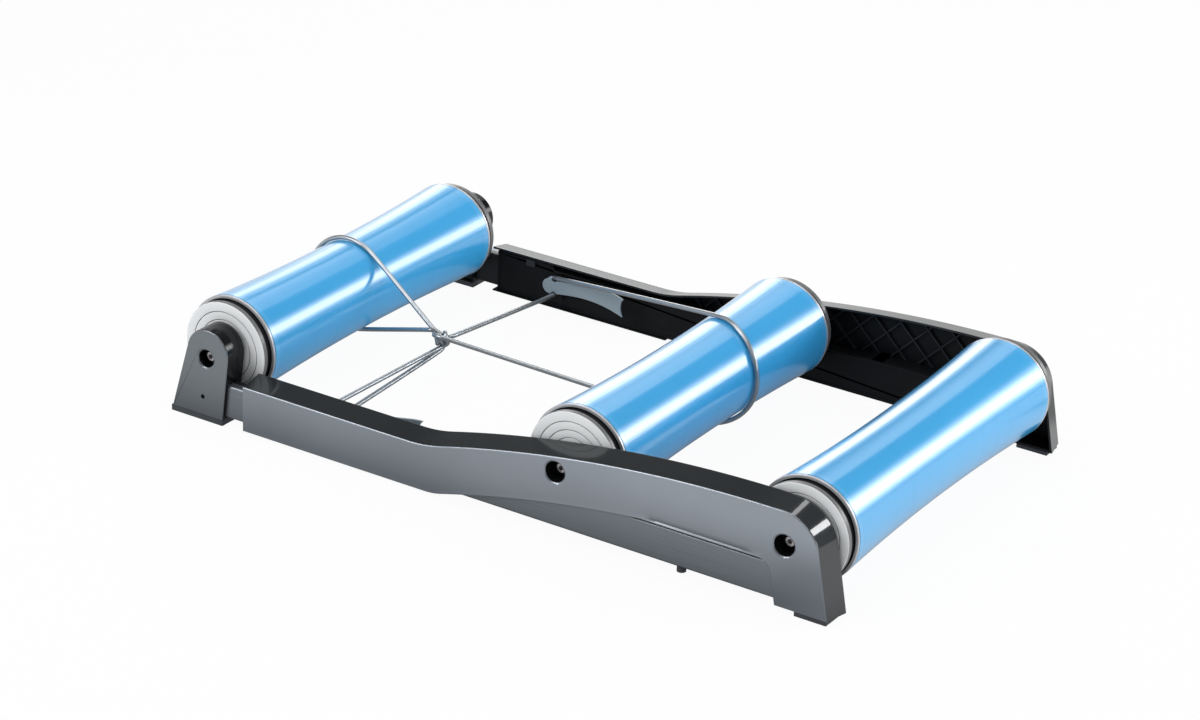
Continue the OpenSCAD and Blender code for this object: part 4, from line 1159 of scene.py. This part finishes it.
# %% [markdown]
# ## Plates in layers
# The front brackets, the guides and the hooks are plates whose rims are rounded or stepped. Each is a pile of
# the same outline, drawn in a little more or less at each level, which gives rounded rims and recesses
# without any cutting.

# %% Draw an outline in, and round its corners
LEAST_BISECTOR = 0.35


def drawn_in(loop, inset):
    """Closed outline moved inwards by an inset at every corner."""
    area = sum(a[0] * b[1] - b[0] * a[1] for a, b in zip(loop, loop[1:] + loop[:1]))
    way = 1 if area > 0 else -1
    out = []
    for i, (x, z) in enumerate(loop):
        before, after = Vector(loop[i - 1]), Vector(loop[(i + 1) % len(loop)])
        here = Vector((x, z))
        a = (here - before).normalized()
        b = (after - here).normalized()
        na, nb = Vector((-a.y, a.x)) * way, Vector((-b.y, b.x)) * way
        middle = (na + nb).normalized()
        p = here + middle * (inset / max(LEAST_BISECTOR, middle.dot(na)))
        out.append((p.x, p.y))
    return out


def soft_box(x0, z0, x1, z1, radius):
    """Rectangle with rounded corners."""
    return rounded([(x0, z0, radius), (x1, z0, radius), (x1, z1, radius), (x0, z1, radius)], SOFT_STEPS)


def layered(loop, levels, side):
    """Closed piece through (inset, y) levels of an outline."""
    return shell([[(x, side * y, z) for x, z in drawn_in(loop, inset)] for inset, y in levels])


def quarter(y, size, steps):
    """Levels that round an outer rim: from the face down to the side."""
    turn = [math.pi / 2 * k / steps for k in range(steps + 1)]
    return [(size - size * math.sin(a), y - size + size * math.cos(a)) for a in turn]


# %% Front brackets
FRONT = AXLES["front"]
TOP_C = (FRONT.x + 2 * MM, FRONT.z + 6 * MM)
BRACKET_R, BRACKET_HOLE, BRACKET_STEPS = 27 * MM, 9.7 * MM, 40
BRACKET_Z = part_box("front_bracket_right")[0].z
TOE_X, HEEL_X = FRONT.x - 46 * MM, FRONT.x + 21 * MM
SCREW_AT, SCREW_R = (FRONT.x - 4.7 * MM, 28.0 * MM), 2.6 * MM
SPACER_HOLE = 8.9 * MM
BAR_DEPTH, BAR_ROOM = 42 * MM, 0.1 * MM


def touch_angle(x, z, way):
    """Angle at which a line from a corner touches the round top."""
    away = math.hypot(x - TOP_C[0], z - TOP_C[1])
    return math.atan2(z - TOP_C[1], x - TOP_C[0]) + way * math.acos(BRACKET_R / away)


def bracket_loop():
    start = touch_angle(HEEL_X, BRACKET_Z, 1)
    stop = touch_angle(TOE_X, BRACKET_Z, -1) + 2 * math.pi
    last = (TOP_C[0] + BRACKET_R * math.cos(stop), TOP_C[1] + BRACKET_R * math.sin(stop))
    top = arc(*TOP_C, BRACKET_R, start, stop, BRACKET_STEPS) + [last]
    foot = [(TOE_X, BRACKET_Z, 2 * MM), (HEEL_X, BRACKET_Z, 2 * MM)]
    return rounded(foot + [(x, z, 0) for x, z in top], SOFT_STEPS)


BRACKET_LOOP = bracket_loop()
INNER_RIM = ((0, 0.6), (0.2, 0.2), (0.6, 0), (2.2, 0), (2.7, 0.4), (2.8, 2))
for label, side in SIDES.items():
    levels = quarter(OUTER_Y, 1.6 * MM, 5) + [(inset * MM, INNER_Y + y * MM) for inset, y in INNER_RIM]
    bracket = build("moulded_bracket_" + label, [layered(BRACKET_LOOP, levels, side)], BRACKET_GREY)
    bar_pocket = block((FRONT.x, BAR_LOW.y - BAR_ROOM, BAR_LOW.z - BAR_ROOM),
                       (FRONT.x + BAR_DEPTH, BAR_HIGH.y + BAR_ROOM, BAR_HIGH.z + BAR_ROOM), side)
    over = OUTER_Y + 2 * MM
    drill(bracket, [
        plug_shape(FRONT.x, FRONT.z, BRACKET_HOLE + HOLE_LIP, OUTER_Y - 14 * MM, over, side),
        plug_shape(FRONT.x, FRONT.z, SPACER_HOLE, INNER_Y - 1 * MM, SEAT_Y - 0.5 * MM, side),
        plug_shape(*SCREW_AT, SCREW_R, OUTER_Y - 3 * MM, over, side, 32),
        bar_pocket,
    ])
    even_shading(bracket)
    ring = eyelet(FRONT, BRACKET_HOLE, OUTER_Y - 18 * MM, side)
    join(bracket, build("bracket_eyelet", [ring], BRACKET_GREY))
    settle(bracket, "front_section", "bracket_grey", "front_bracket_" + label)

# %% Slide guides: a long plate with a raised rim, and two ledges for the bar
BLOCK_X = GUIDE_LOW.x + 78 * MM
LEDGE_TOP = BAR_HIGH.z + 2.8 * MM
LEDGE_H = 2.5 * MM
TAB_X, TAB_Z = GUIDE_LOW.x + 39 * MM, GUIDE_HIGH.z - 8 * MM
TAB_W = 12 * MM
GUIDE_OUT = BAR_LOW.y - 0.3 * MM
GUIDE_IN = GUIDE_OUT - 3 * MM
TAB_IN = GUIDE_IN - 1.2 * MM


def guide_plate(side):
    low, high = GUIDE_LOW, GUIDE_HIGH
    corners = ((low.x, low.z), (high.x, low.z), (high.x, LEDGE_TOP), (BLOCK_X, LEDGE_TOP),
               (BLOCK_X - 4 * MM, high.z), (low.x, high.z))
    levels = [(0, GUIDE_OUT), (0, GUIDE_IN + 0.4 * MM), (0.4 * MM, GUIDE_IN), (2.6 * MM, GUIDE_IN),
              (3.1 * MM, GUIDE_IN + 1 * MM)]
    return layered(rounded([(x, z, 1 * MM) for x, z in corners], SOFT_STEPS), levels, side)


for label, side in SIDES.items():
    ledges = [layered(soft_box(GUIDE_LOW.x, z, GUIDE_HIGH.x, z + LEDGE_H, 0.3 * MM),
                      [(0, GUIDE_OUT - 1 * MM), (0, GUIDE_HIGH.y)], side)
              for z in (GUIDE_LOW.z, LEDGE_TOP - LEDGE_H)]
    tab = layered(soft_box(TAB_X, TAB_Z, TAB_X + TAB_W, GUIDE_HIGH.z, 1 * MM),
                  [(0, GUIDE_OUT), (0, GUIDE_IN - 0.8 * MM), (0.4 * MM, TAB_IN)], side)
    guide = build("moulded_guide_" + label, [guide_plate(side), tab, *ledges], GUIDE_BLACK)
    settle(guide, "rear_frame", "guide_black", "slide_guide_" + label)

# %% [markdown]
# ## Belt hooks
# When the belt is stored, it lies on a hook at each side. A hook is a thin plate with a round head on a post,
# and its tail bends away from the guide and ends in two horns. The flat plate is made first, cut into strips
# along its length, and then each point is moved along the bend. The left hook's tail hangs a little lower.

# %% Make the hooks
POST = (RAIL_X + 84 * MM, 34 * MM)
POST_R, HOOK_T, HOOK_LEN, HOOK_H, HOOK_BEND = 5.5 * MM, 2.5 * MM, 106 * MM, 32 * MM, 205 * MM
HOOK_FACE = GUIDE_IN - 6.4 * MM - HOOK_T
NOTCH_X, NOTCH_Z, NOTCH_R = POST[0] + 3 * MM, POST_R + 2.75 * MM + 0.95 * MM, 3.65 * MM


def sweep_round(x, z, r, start, stop, steps):
    """Points of an arc in the side view from one angle to another in degrees, with its last point."""
    turn = [math.radians(start + (stop - start) * k / steps) for k in range(steps + 1)]
    return [(x + r * math.cos(a), z + r * math.sin(a)) for a in turn]


def along_hook(*shares):
    """Places given as shares of the hook's length and of its tail's height."""
    return [(POST[0] + share_x * HOOK_LEN, POST[1] + share_z * HOOK_H) for share_x, share_z in shares]


def hook_loop():
    """Outline of a hook, from the lower notch round the tail and back over the head."""
    low = sweep_round(NOTCH_X, POST[1] - NOTCH_Z, NOTCH_R, 168, 20, 10)
    high = sweep_round(NOTCH_X, POST[1] + NOTCH_Z, NOTCH_R, -20, -168, 10)
    under = along_hook((0.1, -0.22), (0.22, -0.165), (0.36, -0.11), (0.5, -0.075), (0.65, -0.055),
                       (0.8, -0.05), (0.94, -0.055))
    mouth = sweep_round(POST[0] + 118.5 * MM, POST[1] + 8.5 * MM, 15.0 * MM, 223, 135, 12)
    over = along_hook((0.985, 0.615), (0.93, 0.62), (0.84, 0.595), (0.7, 0.54), (0.53, 0.46), (0.37, 0.38),
                      (0.21, 0.305), (0.12, 0.27))
    head = sweep_round(POST[0] - 3 * MM, POST[1], 9 * MM, 72, 288, 26)
    return low + under + mouth + over + high + head


HOOK_FLAT, HOOK_RIM = 16 * MM, 0.6 * MM
STRIPS, STRIP_W = 24, 4 * MM
DROOP, DROOP_AT = 4 * MM, 90 * MM


def bent_plate(name, side):
    """The tail follows an arc away from the guide. The left one also droops."""
    rim = quarter(0, HOOK_RIM, 3)
    levels = ([(inset, HOOK_FACE + HOOK_T + y) for inset, y in rim]
              + [(inset, HOOK_FACE - y) for inset, y in rim[::-1]])
    piece = build(name, [layered(hook_loop(), levels, 1)], HOOK_GREY)
    made = bmesh.new()
    made.from_mesh(piece.data)
    start = POST[0] + HOOK_FLAT
    for k in range(STRIPS):
        bmesh.ops.bisect_plane(made, geom=made.verts[:] + made.edges[:] + made.faces[:],
                               plane_co=(start + STRIP_W * k, 0, 0), plane_no=(1, 0, 0))
    for v in made.verts:
        ahead = max(0.0, v.co.x - start)
        v.co.y = side * (v.co.y - (HOOK_BEND - math.sqrt(HOOK_BEND ** 2 - ahead ** 2)))
        if side < 0:
            v.co.z -= DROOP * (ahead / DROOP_AT) ** 2
    bmesh.ops.recalc_face_normals(made, faces=made.faces)
    made.to_mesh(piece.data)
    made.free()
    return even_shading(piece, 34)


POST_HOLE = 0.4 * MM
WEB_LEN, WEB_HALF = 42 * MM, 4 * MM
for label, side in SIDES.items():
    hook = bent_plate("belt_hook_plate_" + label, side)
    inner, outer = HOOK_FACE + 1 * MM, GUIDE_IN + 1 * MM
    profile = [(POST_HOLE, inner), (POST_R, inner), (POST_R, outer), (POST_HOLE, outer)]
    post = turned(*POST, profile, 64, side)
    web = block((POST[0], HOOK_FACE + HOOK_T - 0.5 * MM, POST[1] - WEB_HALF),
                (POST[0] + WEB_LEN, outer, POST[1] + WEB_HALF), side)
    join(hook, build("hook_post", [post, web], HOOK_GREY))
    settle(hook, "rear_frame", "hook_grey", "belt_hook_" + label)

# %% [markdown]
# ## Drive belt
# The belt is a round rubber cord in one endless loop. Stored, it runs round the front roller, through the
# hook on each side, round the middle roller and back, and its strands meet in a knot behind the front
# roller. Its route is drawn through a few points, smoothed, and given its thickness by Geometry Nodes.

# %% Route of the belt
BELT_R = 2.5 * MM
TURN_R = POST_R + BELT_R + 0.75 * MM
STRAND_Y = (GUIDE_IN + HOOK_FACE + HOOK_T) / 2
KNOT = Vector((POST[0] + 4 * MM, -10 * MM, 50 * MM))
KNOT_ALONG, KNOT_OVER = Vector((0.85, 0.52, 0.1)), Vector((-0.30, 0.32, 0.90))
KNOT_OUT = Vector((0.44, -0.79, 0.43))
WRAP_R = 5.7 * MM


def wrapped(x, z, r, start, stop, places):
    """Points round a post or roller, with a place across the frame for each."""
    return [(px, y, pz) for (px, pz), y in zip(sweep_round(x, z, r, start, stop, len(places) - 1), places)]


def at_notch(side, way, set_in):
    return (NOTCH_X, side * (HOOK_FACE - set_in * MM), POST[1] + way * NOTCH_Z)


def round_post(side):
    """Half a turn round a post, and out through the notch below it."""
    return (wrapped(*POST, TURN_R, 87, 273, [side * STRAND_Y] * 7)
            + [at_notch(side, -1, -1.5), at_notch(side, -1, 6.5)])


def at_knot(*points):
    """Places in the knot's own directions: along its axis, over it, and out towards the near rail."""
    return [tuple(KNOT + KNOT_ALONG * a * MM + KNOT_OVER * b * MM + KNOT_OUT * c * MM) for a, b, c in points]


def wrap(start, stop, a0, a1, steps):
    """A strand wound round the knot's axis. Angle 0 is over it and 90 is out."""
    out = []
    for k in range(steps + 1):
        share = k / steps
        t = math.radians(a0 + (a1 - a0) * share)
        out += at_knot((start + (stop - start) * share, WRAP_R / MM * math.cos(t), WRAP_R / MM * math.sin(t)))
    return out


def belt_route():
    middle = AXLES["middle"]
    wheel = [v * MM for v in (40, 44, 48, 51, 53, 54, 56, 60, 65, 72, 78)]
    nose = [8 * MM] * 11 + [7 * MM] * 2
    return (at_knot((-8, 10, 1)) + wrap(-2, 6.5, 10, 530, 12) + at_knot((0, -9, -1))
            + [at_notch(-1, 1, 6.5), at_notch(-1, 1, -1.5)] + round_post(-1)
            + at_knot((0, -11, -5)) + wrap(-0.5, -7.5, 200, 770, 13) + at_knot((1, 0.5, 11), (9, -2.5, 10))
            + wrapped(middle.x, middle.z, WAIST_R + BELT_R + 1.2 * MM, -97, 105, wheel)
            + [(POST[0] + HOOK_FLAT, HOOK_FACE - 2 * MM, POST[1] + NOTCH_Z + 4.3 * MM),
               (POST[0] + 6 * MM, HOOK_FACE + HOOK_T, POST[1] + NOTCH_Z + 1.6 * MM)] + round_post(1)
            + at_knot((12, 1.5, 0), (4, 0, 0), (-1, 1.5, -2), (-4.5, 7, -6), (-11, 9.5, -5))
            + wrapped(FRONT.x, FRONT.z, WAIST_R + BELT_R + 0.5 * MM, -76, -300.6, nose))


SPACING = 2.2 * MM
LONGEST_SPAN = 30 * MM
HANDLE_REACH = 1.6


def smoothed(route):
    """Closed smooth line through the route. Handles are short beside long strands, so these stay straight."""
    points = [Vector(p) for p in route]
    count = len(points)
    ways = []
    for i, p in enumerate(points):
        ahead, behind = points[(i + 1) % count] - p, p - points[i - 1]
        ways.append((ahead.normalized() + behind.normalized()).normalized())
    line = []
    for i, p in enumerate(points):
        q = points[(i + 1) % count]
        span = (q - p).length
        before, after = (p - points[i - 1]).length, (points[(i + 2) % count] - q).length
        leave = p + ways[i] * min(span, HANDLE_REACH * before) / 3
        arrive = q - ways[(i + 1) % count] * min(span, HANDLE_REACH * after) / 3
        steps = max(2, round(min(span, LONGEST_SPAN) / SPACING))
        for k in range(steps):
            t = k / steps
            u = 1 - t
            line.append(p * u ** 3 + leave * 3 * t * u ** 2 + arrive * 3 * t * t * u + q * t ** 3)
    return line


# %% Tree that gives a line its thickness
def cord_tree():
    grow = Growth("round_cord", {"Cord radius": BELT_R, "Steps round": 16})
    line = grow.node("GeometryNodeMeshToCurve", Mesh=grow.given("Geometry"))
    ring = grow.node("GeometryNodeCurvePrimitiveCircle", Resolution=grow.given("Steps round"),
                     Radius=grow.given("Cord radius"))
    skin = grow.node("GeometryNodeCurveToMesh", Curve=line, i1=ring)
    smooth = grow.node("GeometryNodeSetShadeSmooth", Geometry=skin)
    grow.finish(smooth, BELT_RUBBER)
    return grow


CORD_TREE = cord_tree()
belt_line = smoothed(belt_route())
line_mesh = bpy.data.meshes.new("belt_line")
links = [(i, (i + 1) % len(belt_line)) for i in range(len(belt_line))]
line_mesh.from_pydata([tuple(p) for p in belt_line], links, [])
belt = CORD_TREE.grow("rubber_belt", line_mesh)
outward(belt.data)
belt.data.shade_smooth()
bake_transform(belt)
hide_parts("drive_belt")
print("belt is", round(sum((a - b).length for a, b in zip(belt_line, belt_line[1:])), 3), "m long")

# %% [markdown]
# ## Parts that stay as the CAD model has them
# Screws, foot pads, slide bars, axles, bearings and plugs already have their right shape, and much of them is
# hidden. So their CAD meshes are shown as they are and only get a finish.

# %% Finishes of the CAD parts that stay
STAYING = (
    (SCREW_BLACK, ["guide_screws", "bracket_screws"]),
    (FOOT_RUBBER, [place + "_foot_" + label for place in ("rear", "mid", "front") for label in SIDES]),
    (BAR_GREY, ["slide_bar_" + label for label in SIDES]),
    (BRIGHT_STEEL, [name + part for name in AXLES
                    for part in ("_axle", "_inner_races", "_outer_races", "_spacers")]),
    (BOLT_STEEL, [name + "_axle_bolts" for name in AXLES]),
    (PLUG_BLACK, [name + "_plug_" + label for name in AXLES for label in SIDES]),
)
for finish, nodes in STAYING:
    for node in nodes:
        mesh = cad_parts[node].data
        mesh.materials.clear()
        mesh.materials.append(finish)
    print(finish.name, "on", len(nodes), "CAD parts")
